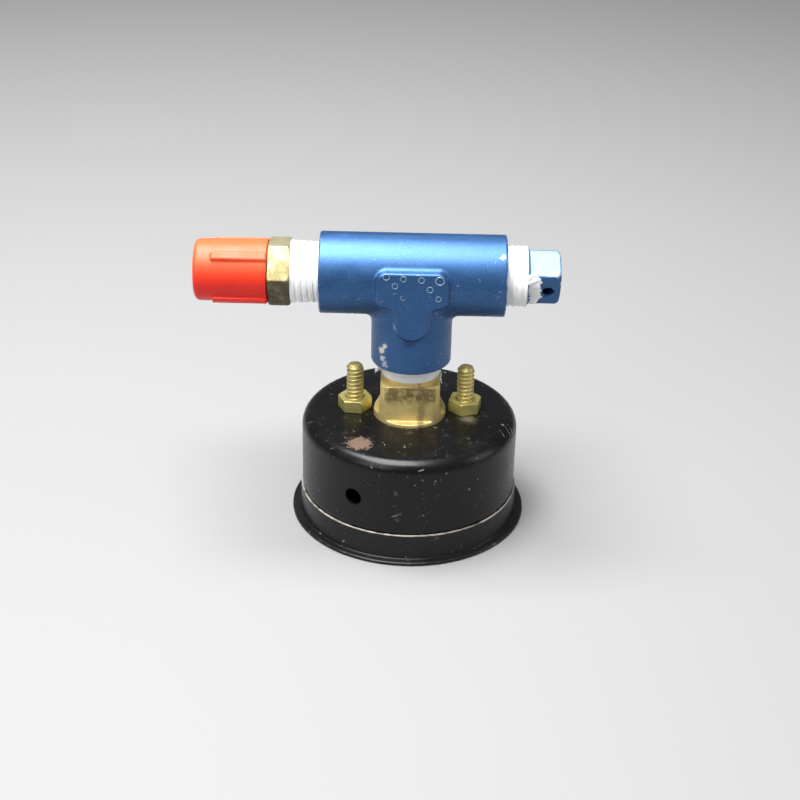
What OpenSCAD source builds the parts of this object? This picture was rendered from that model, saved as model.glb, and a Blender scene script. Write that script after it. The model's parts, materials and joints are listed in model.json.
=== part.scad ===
// Back-connected panel pressure gauge lying face down, with a pipe tee on its stem,
// a capped flare fitting in one end of the tee and a square-head plug in the other.
// Frame: the gauge axis is Z, Z = 0 is the front face of the bezel, +Z points to the back
// of the gauge and +X runs along the tee towards the plug. Millimetres.

/* [Case] */
// Outside diameter of the case
case_d = 52.4; // [46:0.1:64]
// Height of the case back above the front face of the bezel
case_h = 26.35; // [24:0.05:34]
// Sheet thickness of the case
case_wall = 0.8; // [0.5:0.1:1.2]
// Corner radius between the case side and its back
case_corner = 3.2; // [1.5:0.1:4.5]
// Depth of the step that the bezel skirt sits in
neck_step = 0.25; // [0.2:0.05:0.4]
// Diameter of the vent hole in the case side
vent_d = 4.3; // [2:0.1:6]
// Height of the vent hole
vent_z = 15.4; // [11:0.1:19]
// Turn of the vent hole about Z, from +X
vent_turn = 240.6; // [0:0.1:360]

/* [Bezel and lens] */
// Width of the bezel brim beyond the side of the case
brim_w = 2.55; // [1.5:0.05:5]
// Thickness of the bezel brim
brim_t = 0.87; // [0.6:0.01:1.2]
// Height of the rear edge of the bezel skirt
skirt_top = 7.16; // [5:0.01:9]
// Sheet thickness of the bezel skirt
skirt_wall = 0.6; // [0.4:0.05:0.8]
// Extra radius of the skirt where it meets the brim
skirt_flare = 0.2; // [0:0.05:0.4]
// Width of the bezel lip that laps over the lens
lens_lap = 2.3; // [1:0.1:4]
// Thickness of the lens
lens_t = 1.5; // [1:0.1:2]
// Thickness of the lens gasket
gasket_t = 0.6; // [0.4:0.1:1]
// Height of the ring that holds the dial away from the lens
spacer_h = 3.43; // [3.2:0.01:5]

/* [Dial and pointer] */
// Thickness of the dial plate
dial_t = 0.5; // [0.3:0.1:0.8]
// Length of the pointer from its staff to its tip
pointer_l = 19.5; // [14:0.1:20]
// Length of the pointer tail
pointer_tail = 6.5; // [4:0.1:9]
// Distance from the staff to each dial screw
dial_screw_x = 5; // [4.5:0.1:5.5]
// Radius of the circle that the pointer stop stands on
stop_r = 15; // [12:0.1:17]

/* [Movement] */
// Thickness of the two movement plates
plate_t = 1; // [0.8:0.1:1.2]
// Gap between the two movement plates
pillar_h = 6.5; // [6.4:0.1:8]
// Gear module of the sector and the pinion
gear_module = 0.25; // [0.22:0.01:0.3]
// Teeth on the pinion
pinion_teeth = 8; // [8:1:8]
// Teeth on a full circle of the sector
sector_teeth = 96; // [88:4:100]
// Direction of the sector pivot from the staff
sector_dir = 223; // [218:1:228]
// Swing of the sector over the whole scale
sector_swing = 22.5; // [15:0.5:24]
// Length of the sector tail
tail_l = 5.9; // [5:0.1:6.5]
// Turns of the hairspring
spring_turns = 4; // [3:1:5]

/* [Bourdon tube] */
// Radial thickness of the flattened tube
tube_t = 1.8; // [1.4:0.1:2.2]
// Width of the flattened tube along the gauge axis
tube_w = 6; // [5:0.1:6.4]
// Wall of the tube
tube_wall = 0.3; // [0.2:0.05:0.4]
// Room outside the tube for its tip to move
tube_room = 4.5; // [4.3:0.1:5]
// Angle where the free length of the tube starts
root_angle = -72; // [-76:1:-68]
// Angle where the tube ends
tip_angle = 195; // [185:1:200]

/* [Socket and stem] */
// Diameter of the round collar at the case back
collar_d = 17.5; // [16:0.1:18]
// Distance across the side flats of the stem
flats_w = 14.3; // [13.8:0.1:15]
// Distance across the front and back flats of the stem
flats_d = 13.4; // [13.2:0.1:15]
// Height of the shoulder at the top of the flats above the case back
shoulder_h = 9.75; // [8:0.05:12]
// Height of the round boss between the shoulder and the thread
boss_h = 1.3; // [0.8:0.1:2]
// Radius of the main gas passage
passage_r = 2; // [1.5:0.1:2.5]

/* [Bracket studs] */
// Distance between the two studs
stud_pitch = 26.8; // [26:0.1:29]
// Offset of the studs from the gauge axis
stud_y = 1.4; // [-2:0.1:2]
// Diameter of a stud
stud_d = 4.17; // [3.5:0.01:4.5]
// Length of a stud above the case back
stud_l = 11.6; // [8:0.1:16]
// Distance across the flats of a stud nut
nut_af = 7.25; // [7:0.01:8.4]
// Thickness of a stud nut
nut_t = 3.05; // [2:0.05:4]

/* [Pipe tee] */
// Outside diameter of the run and of the branch
run_d = 19.14; // [17.5:0.01:24]
// Length of the run
run_l = 43.3; // [38:0.1:54]
// Height of the run axis above the branch face
branch_l = 21.8; // [20:0.1:28]
// Visible length of tape between the stem boss and the branch face
stem_tape_l = 3.46; // [2:0.01:5]
// Distance from the run axis to each raised forging pad
pad_y = 10.4; // [10:0.1:14]
// Width of the upper part of the forging pad
pad_w = 17; // [14:0.1:19]
// Width of the tongue that runs down the branch
tongue_w = 7.6; // [5:0.1:10]

/* [Pipe threads] */
// Radius of the male pipe thread where it enters the tee
pipe_r = 6.62; // [6.4:0.01:7.2]
// Engaged length of the pipe thread
engaged_l = 9.5; // [8:0.1:12]
// Depth of the tapered hole in each end of the tee
port_depth = 11; // [9.8:0.1:12.4]
// Gap between the male and female threads, filled by tape
tape_gap = 0.1; // [0.05:0.01:0.15]

/* [Flare fitting and cap] */
// Visible length of the taped thread
fit_tape_l = 6.7; // [3:0.1:9]
// Distance across the flats of the hexagon
hex_af = 14.3; // [14.1:0.1:18]
// Thickness of the hexagon
hex_t = 5.15; // [4:0.05:8]
// Radius of the flare thread
flare_r = 5.56; // [5:0.01:6]
// Length of the flare thread
flare_l = 10.6; // [8:0.1:13]
// Half angle of the flare nose
flare_angle = 37; // [30:1:45]
// Radius of the bore through the fitting
fit_bore_r = 2.2; // [1.5:0.1:2.4]
// Wall of the cap at its open end
cap_wall = 1.75; // [1:0.05:2.5]
// How much the cap narrows towards its closed end, in radius
cap_taper = 0.25; // [0:0.05:0.6]
// Length of the cap
cap_l = 17.1; // [16.5:0.1:20]
// Height of the ribs on the cap
rib_h = 0.65; // [0.3:0.05:1.2]
// Width of a rib
rib_w = 2.1; // [1:0.1:3]
// Length of a rib
rib_l = 12.8; // [8:0.1:14]

/* [Square-head plug] */
// Visible length of the taped thread
plug_tape_l = 4.8; // [2:0.1:7]
// Distance across the flats of the square head
square_af = 9.5; // [8.8:0.1:11]
// Length of the square head
square_l = 7.8; // [5:0.1:10]
// Radius that truncates the corners of the square head
square_corner_r = 6.2; // [5.8:0.05:6.4]
// Diameter of the lock-wire hole
wire_d = 2.5; // [1:0.1:3.5]

/* [Hidden] */
$fn = 64;

// Clearances and small edges
slip = 0.05;      // radial clearance of a pin or shaft in its hole
loose = 0.12;     // radial clearance of a clearance hole
link_play = 0.08; // radial clearance of the sector pin in the link
cap_play = 0.14;  // radial clearance of the cap over the flare thread
cut = 1;          // how far a cutting shape runs past a face
edge_cut = 0.5;   // chamfer on nuts, studs and the hexagon

// Colours
brass = [0.79, 0.66, 0.36];
anodised = [0.08, 0.25, 0.62];
tape_white = [0.93, 0.93, 0.92];
steel = [0.62, 0.63, 0.65];
black = [0.05, 0.05, 0.055];

// Case and bezel
case_r = case_d / 2;
case_in_r = case_r - case_wall;
neck_r = case_r - neck_step;
neck_in_r = neck_r - case_wall;
neck_top = skirt_top + 0.35;
skirt_in_r = neck_r + slip;
lens_r = skirt_in_r - 0.15;
brim_r = case_r + brim_w;
lens_z = brim_t;
gasket_z = lens_z + lens_t;
mouth_z = gasket_z + gasket_t;
spacer_r = neck_in_r - slip;
spacer_wall = 0.5;
lens_open_r = lens_r - lens_lap;
gasket_inset = 0.6;
back_in_z = case_h - case_wall;

// Dial and movement stack, from the front of the gauge to its back
dial_z = mouth_z + spacer_h;
dial_r = neck_in_r - slip;
front_z = dial_z + dial_t;
inner_z = front_z + plate_t;
back_z = inner_z + pillar_h;
pad_z = back_z + plate_t;
dial_hole_r = 1.5;
dial_screw_r = 0.6;
dial_screw_head_r = 1.1;
dial_screw_head_t = 0.5;
stop_pin_r = 0.5;

// Pointer
hub_r = 2;
hub_z = dial_z - 2.4;
hub_t = 1.4;
blade_z = hub_z + 0.6;
blade_t = 0.3;
blade_w = 1;
blade_taper_l = 1.2;
blade_boss_r = hub_r + 0.8;
hub_neck_r = 1.2;
stop_z = blade_z - 0.4;
blade_tip_w = 0.4;
tail_w = 2.4;
seat_r = 0.5;
zero_turn = -45;
stop_turn = zero_turn - asin((stop_pin_r + blade_w / 2 + slip) / stop_r);

// Gears
pinion_r = gear_module * pinion_teeth / 2;
sector_r = gear_module * sector_teeth / 2;
gear_centres = pinion_r + sector_r;
addendum = gear_module;
dedendum = gear_module * 1.25;
tooth_root_w = gear_module * 1.45;
tooth_pitch_w = gear_module * 1.2;
tooth_tip_w = gear_module * 0.6;
sector_pitch = 360 / sector_teeth;
sector_t = 0.8;
sector_z = inner_z + 2.9;
sector_web = 1.6;
mesh_dir = sector_dir - 180;
pivot = gear_centres * [cos(sector_dir), sin(sector_dir)];
shaft_r = 0.6;
tip_shaft_r = 0.35;
shaft_collar_r = 1.1;
shaft_collar_t = 0.5;
staff_end = 0.1;
staff_back = 0.4;
arbor_end = 0.1;
pinion_side = 0.4;
pinion_z = sector_z - pinion_side;
pinion_h = sector_t + 2 * pinion_side;
tooth_sink = 0.2;
rim_sink = 0.02;
sector_hub_r = 1.8;
sector_boss_r = 1.5;
sector_boss_t = 1;
sector_side_w = 2;
sector_side_turn = 4;
first_tooth = -2;
last_tooth = ceil(sector_swing / sector_pitch) + 1;

// Bourdon tube, its tip and the link
tube_r = case_in_r - tube_room - tube_t / 2;
tube_lift = 0.5;
tube_z = pad_z + tube_lift + tube_w / 2;
root_bury = 8;
solder_gap = 0.05;
solder_turn = 1;
tip_arc = 8;
tip_w = 2.6;
tip_over = 0.3;
tip_bite = 1.3;
tip_pin_angle = tip_angle + tip_arc / 2;
tip_pin = tube_r * [cos(tip_pin_angle), sin(tip_pin_angle)];
free_arc = tip_angle - root_angle;
arc_mid = (tip_angle + root_angle) / 2;
flex_r = tube_r * sin(free_arc / 2) / (free_arc / 2 * PI / 180);
flex = flex_r * [cos(arc_mid), sin(arc_mid)];
tip_arm = norm(tip_pin - flex);
tip_mid_turn = -sector_swing / 2 * tail_l / tip_arm;
tip_mid_dir = atan2(tip_pin.y - flex.y, tip_pin.x - flex.x) + tip_mid_turn;
tail_dir = tip_mid_dir + sector_swing / 2;
tail_pin = pivot + tail_l * [cos(tail_dir), sin(tail_dir)];
link_z = sector_z + sector_t + 0.1;
link_t = 0.5;
link_w = 1.8;
link_pin_r = 0.4;
link_head_r = 0.7;
link_head_t = 0.35;
tail_w_sector = 2;

// Hairspring
spring_in_r = 1.1;
spring_step = 0.75;
spring_t = 0.12;
spring_gap = 0.1;
collet_side = 0.2;
spring_h = 0.6;
spring_z = sector_z + sector_t + 1.3;
spring_stud_r = 0.4;
spring_stud_at = spring_in_r + spring_turns * spring_step + spring_stud_r + spring_t;

// Pillars and screws
pillars = [[8.5, -4.5], [-3, 8.5]];
pillar_r = 1.4;
screw_r = 0.8;
screw_head_r = 1.5;
screw_bite = 4.5;
screw_room = 0.5;
plate_edge = 2.6;

// Socket and stem
collar_r = collar_d / 2;
flange_t = 3.1;
flange_z = back_in_z - flange_t;
flange_w = 13;
flange_end_r = 4.5;
block_r = 10.8;
root_block_w = 4;
root_wall = 1.2;
root_open = 4;
side_flat_z = case_h + 2.9;
front_flat_z = case_h + 0.6;
flare_cut_r = 2;
shoulder_z = case_h + shoulder_h;
boss_z = shoulder_z + boss_h;
boss_r = flats_d / 2;
branch_z = boss_z + stem_tape_l;
stem_top = branch_z + engaged_l;
cross_r = 1.2;
passage_sump = 0.6;
passage_foot = tube_z - cross_r - passage_sump;
restrictor_l = 4;
restrictor_sink = 1;
restrictor_r = 0.3;
relief_r = 1;
relief_depth = 0.8;
nut_turns = [-5, 17];

// Tee
run_r = run_d / 2;
run_z = branch_z + branch_l;
pad_top = 4.4;
pad_bottom = -4.3;
pad_round = 2.6;
tongue_end = -12.7;
tee_bore_r = 5.2;

// Tape: its length inside the tee, and how thick it is at the face of the tee and at its end
tape_in = engaged_l - 1;
stem_tape_t = [0.2, 0.12];
fitting_tape_t = [0.14, 0.42];
plug_tape_t = [0.12, 0.1];

// Fitting, cap and plug
hex_turn = 37;
cap_gap = 0.15;
nose_r = flare_r - 0.56;
nose_end_r = flare_r - 2.56;
nose_l = (nose_r - nose_end_r) / tan(flare_angle);
relief_l = 1.2;
flare_relief_r = flare_r - 0.76;
cap_open_r = flare_r + cap_play + cap_wall;
cap_shut_r = cap_open_r - cap_taper;
cap_end_t = 1.5;
cap_corner = 2;
rib_turn = -42;
rib_count = 4;
square_turn = 23;
wire_from_end = 2.9;

// Radius of the tapered thread at a distance outwards from the face of the tee
function taper_r(d) = pipe_r + d / 32;

// Places a shape, built with +Z pointing out of the tee, at the end of the branch or the run
module at_branch() {
  translate([0, 0, branch_z]) rotate([180, 0, 0]) children();
}
module at_left_end() {
  translate([-run_l / 2, 0, run_z]) rotate([0, -90, 0]) children();
}
module at_right_end() {
  translate([run_l / 2, 0, run_z]) rotate([0, 90, 0]) children();
}

// A ring with its foot at height z
module ring(z, height, outer, inner) {
  translate([0, 0, z]) difference() {
    cylinder(h = height, r = outer);
    translate([0, 0, -cut]) cylinder(h = height + 2 * cut, r = inner);
  }
}

// A cylinder that stands at a point of the XY plane
module post(at, z, height, radius) {
  translate([at.x, at.y, z]) cylinder(h = height, r = radius);
}

// A flat bar between two points of the XY plane
module bar(from, to, width) {
  translate(from) rotate(atan2(to.y - from.y, to.x - from.x))
    translate([0, -width / 2]) square([norm(to - from), width]);
}

// Half profile of a cup: a rectangle with its outer top corner rounded
module cup_profile(radius, bottom, top, corner) {
  difference() {
    translate([0, bottom]) square([radius, top - bottom]);
    translate([radius - corner, top - corner]) difference() {
      square([corner + cut, corner + cut]);
      circle(corner);
    }
  }
}

// Hexagon of a given size across its flats
module hexagon(af, height) {
  cylinder(h = height, d = af / cos(30), $fn = 6);
}

// Tapered male pipe thread, drawn at its outside diameter
module male_thread(inside, outside) {
  translate([0, 0, -inside])
    cylinder(h = inside + outside, r1 = taper_r(-inside), r2 = taper_r(outside));
}

// Tape wound on a male pipe thread, thicker where it shows outside the tee
module thread_tape(outside, thickness) {
  difference() {
    union() {
      translate([0, 0, -tape_in])
        cylinder(h = tape_in, r1 = taper_r(-tape_in) + tape_gap, r2 = taper_r(0) + tape_gap);
      cylinder(h = outside, r1 = taper_r(0) + thickness[0], r2 = taper_r(outside) + thickness[1]);
    }
    male_thread(engaged_l + cut, outside + cut);
  }
}

// Tooth with straight flanks, pointing along +X from a gear centre
module tooth(pitch_r) {
  root = pitch_r - dedendum;
  tip = pitch_r + addendum;
  polygon([
    [root - tooth_sink, -tooth_root_w / 2], [root, -tooth_root_w / 2],
    [pitch_r, -tooth_pitch_w / 2], [tip, -tooth_tip_w / 2], [tip, tooth_tip_w / 2],
    [pitch_r, tooth_pitch_w / 2], [root, tooth_root_w / 2], [root - tooth_sink, tooth_root_w / 2]
  ]);
}

// Drawn sheet-metal cup with holes for the stem, the studs and the vent
module case() {
  color(black) difference() {
    rotate_extrude($fn = 180) difference() {
      union() {
        translate([0, mouth_z]) square([neck_r, neck_top - mouth_z]);
        cup_profile(case_r, neck_top, case_h, case_corner);
      }
      translate([0, mouth_z - cut]) square([neck_in_r, neck_top - mouth_z + 2 * cut]);
      cup_profile(case_in_r, neck_top + case_wall, back_in_z, case_corner - case_wall);
    }
    post([0, 0], back_in_z - cut, case_wall + 2 * cut, collar_r + loose);
    for (side = [-1, 1])
      post([side * stud_pitch / 2, stud_y], back_in_z - cut, case_wall + 2 * cut, stud_d / 2 + loose);
    rotate([0, 0, vent_turn]) translate([case_r - 3 * case_wall, 0, vent_z]) rotate([0, 90, 0])
      cylinder(h = 6 * case_wall, d = vent_d);
  }
}

// Ring that holds the lens, with a brim that seats on the panel
module bezel() {
  skirt_r = skirt_in_r + skirt_wall;
  edge_r = brim_t / 2;
  rim_cut = 0.25;
  color(black) rotate_extrude($fn = 180) union() {
    translate([lens_open_r, 0]) square([brim_r - edge_r - lens_open_r, brim_t]);
    translate([brim_r - edge_r, edge_r]) circle(edge_r, $fn = 32);
    polygon([
      [skirt_in_r, brim_t / 2], [skirt_r + skirt_flare, brim_t / 2],
      [skirt_r, skirt_top - rim_cut], [skirt_r - rim_cut, skirt_top], [skirt_in_r, skirt_top]
    ]);
  }
}

// Clear window
module lens() {
  color([0.8, 0.9, 0.95, 0.4]) post([0, 0], lens_z, lens_t, lens_r);
}

// Rubber ring between the lens and the mouth of the case
module lens_gasket() {
  color([0.1, 0.1, 0.1]) ring(gasket_z, gasket_t, lens_r, lens_open_r + gasket_inset);
}

// Thin ring that keeps the dial away from the lens
module spacer_ring() {
  color([0.12, 0.12, 0.12]) ring(mouth_z, spacer_h, spacer_r, spacer_r - spacer_wall);
}

// Printed dial plate
module dial() {
  color([0.93, 0.93, 0.9]) difference() {
    post([0, 0], dial_z, dial_t, dial_r);
    post([0, 0], dial_z - cut, dial_t + 2 * cut, dial_hole_r);
    for (side = [-1, 1])
      post([side * dial_screw_x, 0], dial_z - cut, dial_t + 2 * cut, dial_screw_r + slip);
    rotate([0, 0, stop_turn])
      post([stop_r, 0], dial_z - cut, dial_t + 2 * cut, stop_pin_r);
  }
}

// Two screws that hold the dial to the movement
module dial_screws() {
  color(brass) for (side = [-1, 1]) union() {
    post([side * dial_screw_x, 0], dial_z - dial_screw_head_t, dial_screw_head_t, dial_screw_head_r);
    post([side * dial_screw_x, 0], dial_z, dial_t + plate_t, dial_screw_r);
  }
}

// Pin that the pointer rests against at zero
module pointer_stop() {
  color(steel) rotate([0, 0, stop_turn])
    post([stop_r, 0], stop_z, dial_z + dial_t - stop_z, stop_pin_r);
}

// Pointer blade with a widened tail
module pointer() {
  color([0.85, 0.2, 0.08]) rotate([0, 0, zero_turn]) translate([0, 0, blade_z])
    linear_extrude(blade_t) difference() {
      union() {
        polygon([
          [0, -blade_w / 2], [pointer_l - blade_taper_l, -blade_w / 2],
          [pointer_l, -blade_tip_w / 2], [pointer_l, blade_tip_w / 2],
          [pointer_l - blade_taper_l, blade_w / 2], [0, blade_w / 2]
        ]);
        translate([-pointer_tail, -tail_w / 2]) square([pointer_tail, tail_w]);
        circle(blade_boss_r);
      }
      circle(hub_neck_r);
    }
}

// Bush that carries the pointer on the staff
module pointer_hub() {
  color(brass) difference() {
    union() {
      post([0, 0], hub_z, blade_z - hub_z, hub_r);
      post([0, 0], blade_z, hub_z + hub_t - blade_z, hub_neck_r);
    }
    post([0, 0], hub_z - cut, hub_t + 2 * cut, seat_r);
  }
}

// Staff with the pinion cut on it
module pinion_staff() {
  color(brass) union() {
    post([0, 0], hub_z - staff_end, hub_t + staff_end, seat_r);
    post([0, 0], hub_z + hub_t, back_z - hub_z - hub_t - slip, shaft_r);
    post([0, 0], back_z - 2 * slip, plate_t + staff_back, tip_shaft_r);
    post([0, 0], inner_z + slip, shaft_collar_t, shaft_collar_r);
    translate([0, 0, pinion_z]) linear_extrude(pinion_h) union() {
      circle(pinion_r - dedendum + rim_sink);
      for (i = [0 : pinion_teeth - 1])
        rotate(sector_dir + i * 360 / pinion_teeth) tooth(pinion_r);
    }
  }
}

// Collar that holds the inner end of the hairspring
module hairspring_collet() {
  color(brass) ring(spring_z - collet_side, spring_h + 2 * collet_side, spring_in_r, shaft_r);
}

// Flat spiral spring that takes up the backlash
module hairspring() {
  steps = 20;
  count = spring_turns * steps;
  function spiral(i, side) =
    (spring_in_r + spring_gap + spring_step * i / steps + side * spring_t / 2)
    * [cos(i * 360 / steps), sin(i * 360 / steps)];
  inner = [for (i = [0 : count]) spiral(i, -1)];
  outer = [for (i = [count : -1 : 0]) spiral(i, 1)];
  color([0.72, 0.45, 0.2]) translate([0, 0, spring_z])
    linear_extrude(spring_h) polygon(concat(inner, outer));
}

// Pin under the back plate that holds the outer end of the hairspring
module spring_stud() {
  foot = spring_z - collet_side;
  color(brass) post([spring_stud_at, 0], foot, back_z + plate_t / 2 - foot, spring_stud_r);
}

// Outline shared by the two movement plates: a triangle with rounded corners
module plate_outline() {
  corners = concat([pivot], pillars);
  count = len(corners);
  steps = 8;
  polygon([
    for (i = [0 : count - 1])
      let (
        here = corners[i],
        before = corners[(i + count - 1) % count],
        after = corners[(i + 1) % count],
        start = atan2(here.y - before.y, here.x - before.x) - 90,
        turn = (atan2(after.y - here.y, after.x - here.x) - 90 - start + 720) % 360
      )
      for (k = [0 : steps])
        here + plate_edge * [cos(start + turn * k / steps), sin(start + turn * k / steps)]
  ]);
}

// Plate behind the dial
module front_plate() {
  color(brass) difference() {
    translate([0, 0, front_z]) linear_extrude(plate_t) plate_outline();
    post([0, 0], front_z - cut, plate_t + 2 * cut, shaft_r + slip);
    post(pivot, front_z - cut, plate_t + 2 * cut, shaft_r + slip);
    for (side = [-1, 1])
      post([side * dial_screw_x, 0], front_z - cut, plate_t + 2 * cut, dial_screw_r + slip);
    for (p = pillars) {
      post(p, front_z - cut, plate_t + 2 * cut, screw_r + slip);
      translate([p.x, p.y, front_z - slip])
        cylinder(h = screw_head_r - screw_r + slip, r1 = screw_head_r + 2 * slip, r2 = screw_r + slip);
    }
  }
}

// Plate against the socket
module back_plate() {
  color(brass) difference() {
    translate([0, 0, back_z]) linear_extrude(plate_t) plate_outline();
    post([0, 0], back_z - cut, plate_t + 2 * cut, tip_shaft_r + slip);
    post(pivot, back_z - cut, plate_t + 2 * cut, shaft_r + slip);
    post([spring_stud_at, 0], back_z - cut, cut + plate_t / 2, spring_stud_r);
    for (p = pillars) post(p, back_z - cut, plate_t + 2 * cut, screw_r + slip);
  }
}

// Tubes that keep the plates apart
module movement_pillars() {
  color(brass) for (p = pillars)
    translate([p.x, p.y, 0]) ring(inner_z, pillar_h, pillar_r, screw_r + slip);
}

// Long screws that hold the movement to the socket
module movement_screws() {
  color(steel) for (p = pillars) translate([p.x, p.y, front_z]) union() {
    cylinder(h = screw_head_r - screw_r, r1 = screw_head_r, r2 = screw_r);
    cylinder(h = 2 * plate_t + pillar_h + screw_bite, r = screw_r);
  }
}

// Toothed sector with a tail for the link
module sector_gear() {
  rim_in = sector_r - dedendum - sector_web;
  first_turn = mesh_dir + (first_tooth - 0.5) * sector_pitch;
  last_turn = mesh_dir + (last_tooth + 0.5) * sector_pitch;
  color(brass) difference() {
    union() {
      translate([pivot.x, pivot.y, sector_z]) linear_extrude(sector_t) union() {
        for (i = [first_tooth : last_tooth - 1])
          rotate(mesh_dir + (i + 0.5) * sector_pitch) tooth(sector_r);
        difference() {
          intersection() {
            circle(sector_r - dedendum + rim_sink, $fn = 128);
            polygon([
              [0, 0], 2 * sector_r * [cos(first_turn), sin(first_turn)],
              2 * sector_r * [cos(last_turn), sin(last_turn)]
            ]);
          }
          difference() {
            circle(rim_in);
            for (turn = [first_turn + sector_side_turn, last_turn - sector_side_turn])
              rotate(turn) translate([0, -sector_side_w / 2]) square([sector_r, sector_side_w]);
          }
        }
        circle(sector_hub_r);
        rotate(tail_dir) translate([0, -tail_w_sector / 2]) square([tail_l, tail_w_sector]);
        rotate(tail_dir) translate([tail_l, 0]) circle(tail_w_sector / 2);
      }
      post(pivot, sector_z + sector_t, sector_boss_t, sector_boss_r);
    }
    post(pivot, sector_z - cut, sector_t + sector_boss_t + 2 * cut, shaft_r);
    post(tail_pin, sector_z - cut, sector_t + 2 * cut, link_pin_r);
  }
}

// Arbor that the sector turns on, pivoted in both plates
module sector_arbor() {
  color(steel) union() {
    post(pivot, front_z + arbor_end, pad_z - front_z - 2 * arbor_end, shaft_r);
    post(pivot, inner_z + slip, shaft_collar_t, shaft_collar_r);
    post(pivot, back_z - slip - shaft_collar_t, shaft_collar_t, shaft_collar_r);
  }
}

// Rivet that holds the link on the sector tail
module sector_link_pin() {
  color(steel) union() {
    post(tail_pin, sector_z, link_z + link_t - sector_z + slip, link_pin_r);
    post(tail_pin, link_z + link_t + slip, link_head_t, link_head_r);
  }
}

// Strip that joins the tip of the tube to the sector tail
module link() {
  color(brass) difference() {
    translate([0, 0, link_z]) linear_extrude(link_t) union() {
      bar(tip_pin, tail_pin, link_w);
      for (end = [tip_pin, tail_pin]) translate(end) circle(link_w / 2);
    }
    post(tip_pin, link_z - cut, link_t + 2 * cut, link_pin_r + slip);
    post(tail_pin, link_z - cut, link_t + 2 * cut, link_pin_r + link_play);
  }
}

// Rivet that holds the link on the tip of the tube
module tip_link_pin() {
  color(steel) union() {
    post(tip_pin, link_z - slip - link_head_t, link_head_t, link_head_r);
    post(tip_pin, link_z - slip, link_t + 2 * slip + tip_bite, link_pin_r);
  }
}

// Half profile of the flattened tube, grown by a given amount
module tube_profile(grow) {
  translate([tube_r, tube_z]) union() {
    square([tube_t + 2 * grow, tube_w - tube_t], center = true);
    for (side = [-1, 1]) translate([0, side * (tube_w - tube_t) / 2]) circle(tube_t / 2 + grow, $fn = 32);
  }
}

// Arc of a profile about the gauge axis
module arc_of(from, to) {
  rotate([0, 0, from]) rotate_extrude(angle = to - from, $fn = 120) children();
}

// End piece that closes the tube and carries the link pin
module tube_tip() {
  foot = link_z + link_t + 2 * slip;
  top = tube_z + tube_w / 2 + tip_over;
  color(brass) difference() {
    arc_of(tip_angle, tip_angle + tip_arc)
      translate([tube_r - tip_w / 2, foot]) square([tip_w, top - foot]);
    post(tip_pin, foot - cut, cut + tip_bite, link_pin_r);
  }
}

// Flattened C-shaped pressure tube
module bourdon_tube() {
  color([0.74, 0.5, 0.28]) arc_of(root_angle - root_bury, tip_angle) difference() {
    tube_profile(0);
    tube_profile(-tube_wall);
  }
}

// Brass body: thread and flats outside the case, flange, block and tube root inside it
module socket() {
  root_y = tube_r + tube_t / 2 + root_wall;
  root_x = tube_r * cos(root_angle);
  color(brass) difference() {
    union() {
      // stem with its four flats
      difference() {
        post([0, 0], back_in_z - slip, shoulder_z - back_in_z + slip, collar_r);
        for (side = [-1, 1]) {
          translate([side * (flats_w / 2 + flare_cut_r), 0, 0]) union() {
            translate([-flare_cut_r, -collar_r - cut, side_flat_z])
              cube([2 * flare_cut_r, 2 * (collar_r + cut), shoulder_h]);
            translate([0, collar_r + cut, side_flat_z]) rotate([90, 0, 0])
              cylinder(h = 2 * (collar_r + cut), r = flare_cut_r);
          }
          translate([0, side * (flats_d + collar_r) / 2, front_flat_z + (shoulder_h + cut) / 2])
            cube([2 * (collar_r + cut), collar_r, shoulder_h + cut], center = true);
        }
      }
      post([0, 0], shoulder_z - cut, boss_h + cut, boss_r);
      at_branch() male_thread(engaged_l, stem_tape_l);
      // flange that the studs are screwed into
      translate([0, 0, flange_z]) linear_extrude(flange_t) union() {
        square([stud_pitch, flange_w], center = true);
        for (side = [-1, 1]) translate([side * stud_pitch / 2, stud_y / 2]) circle(flange_end_r);
      }
      post([0, 0], pad_z, flange_z + flange_t - pad_z, block_r);
      // arm to the root of the tube
      translate([-root_block_w, -root_y, pad_z])
        cube([root_block_w + root_x, root_y - cut, flange_z - pad_z + cut]);
    }
    post([0, 0], passage_foot, stem_top - passage_foot + cut, passage_r);
    translate([0, 0, tube_z]) rotate([90, 0, 0])
      cylinder(h = tube_r, r = cross_r);
    arc_of(root_angle - root_bury - solder_turn, root_angle + root_open) tube_profile(solder_gap);
    post([0, 0], pad_z - cut, relief_depth + cut, relief_r);
    for (side = [-1, 1])
      post([side * stud_pitch / 2, stud_y], flange_z - cut, flange_t + 2 * cut, stud_d / 2 + slip);
    for (p = pillars) post(p, pad_z - cut, screw_bite + screw_room + cut, screw_r + slip);
  }
}

// Screw with a fine hole that damps pressure pulses
module restrictor() {
  color(brass) ring(stem_top - restrictor_l - restrictor_sink, restrictor_l, passage_r, restrictor_r);
}

// Two threaded studs for a mounting bracket
module mounting_studs() {
  stud_r = stud_d / 2;
  body_l = stud_l - edge_cut;
  color(brass) for (side = [-1, 1]) translate([side * stud_pitch / 2, stud_y, 0]) union() {
    post([0, 0], flange_z, case_h + body_l - flange_z, stud_r);
    translate([0, 0, case_h + body_l]) cylinder(h = edge_cut, r1 = stud_r, r2 = stud_r - edge_cut);
  }
}

// Nuts that clamp the case to the socket flange
module stud_nuts() {
  corner_r = nut_af / 2 / cos(30);
  color(brass) for (i = [0, 1])
    translate([(2 * i - 1) * stud_pitch / 2, stud_y, case_h]) difference() {
      intersection() {
        rotate([0, 0, nut_turns[i]]) hexagon(nut_af, nut_t);
        cylinder(h = nut_t, r1 = corner_r + nut_t - edge_cut, r2 = corner_r - edge_cut);
      }
      translate([0, 0, -cut]) cylinder(h = nut_t + 2 * cut, r = stud_d / 2 + slip);
    }
}

// Tape on the stem thread
module stem_tape() {
  color(tape_white) at_branch() thread_tape(stem_tape_l, stem_tape_t);
}

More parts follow.
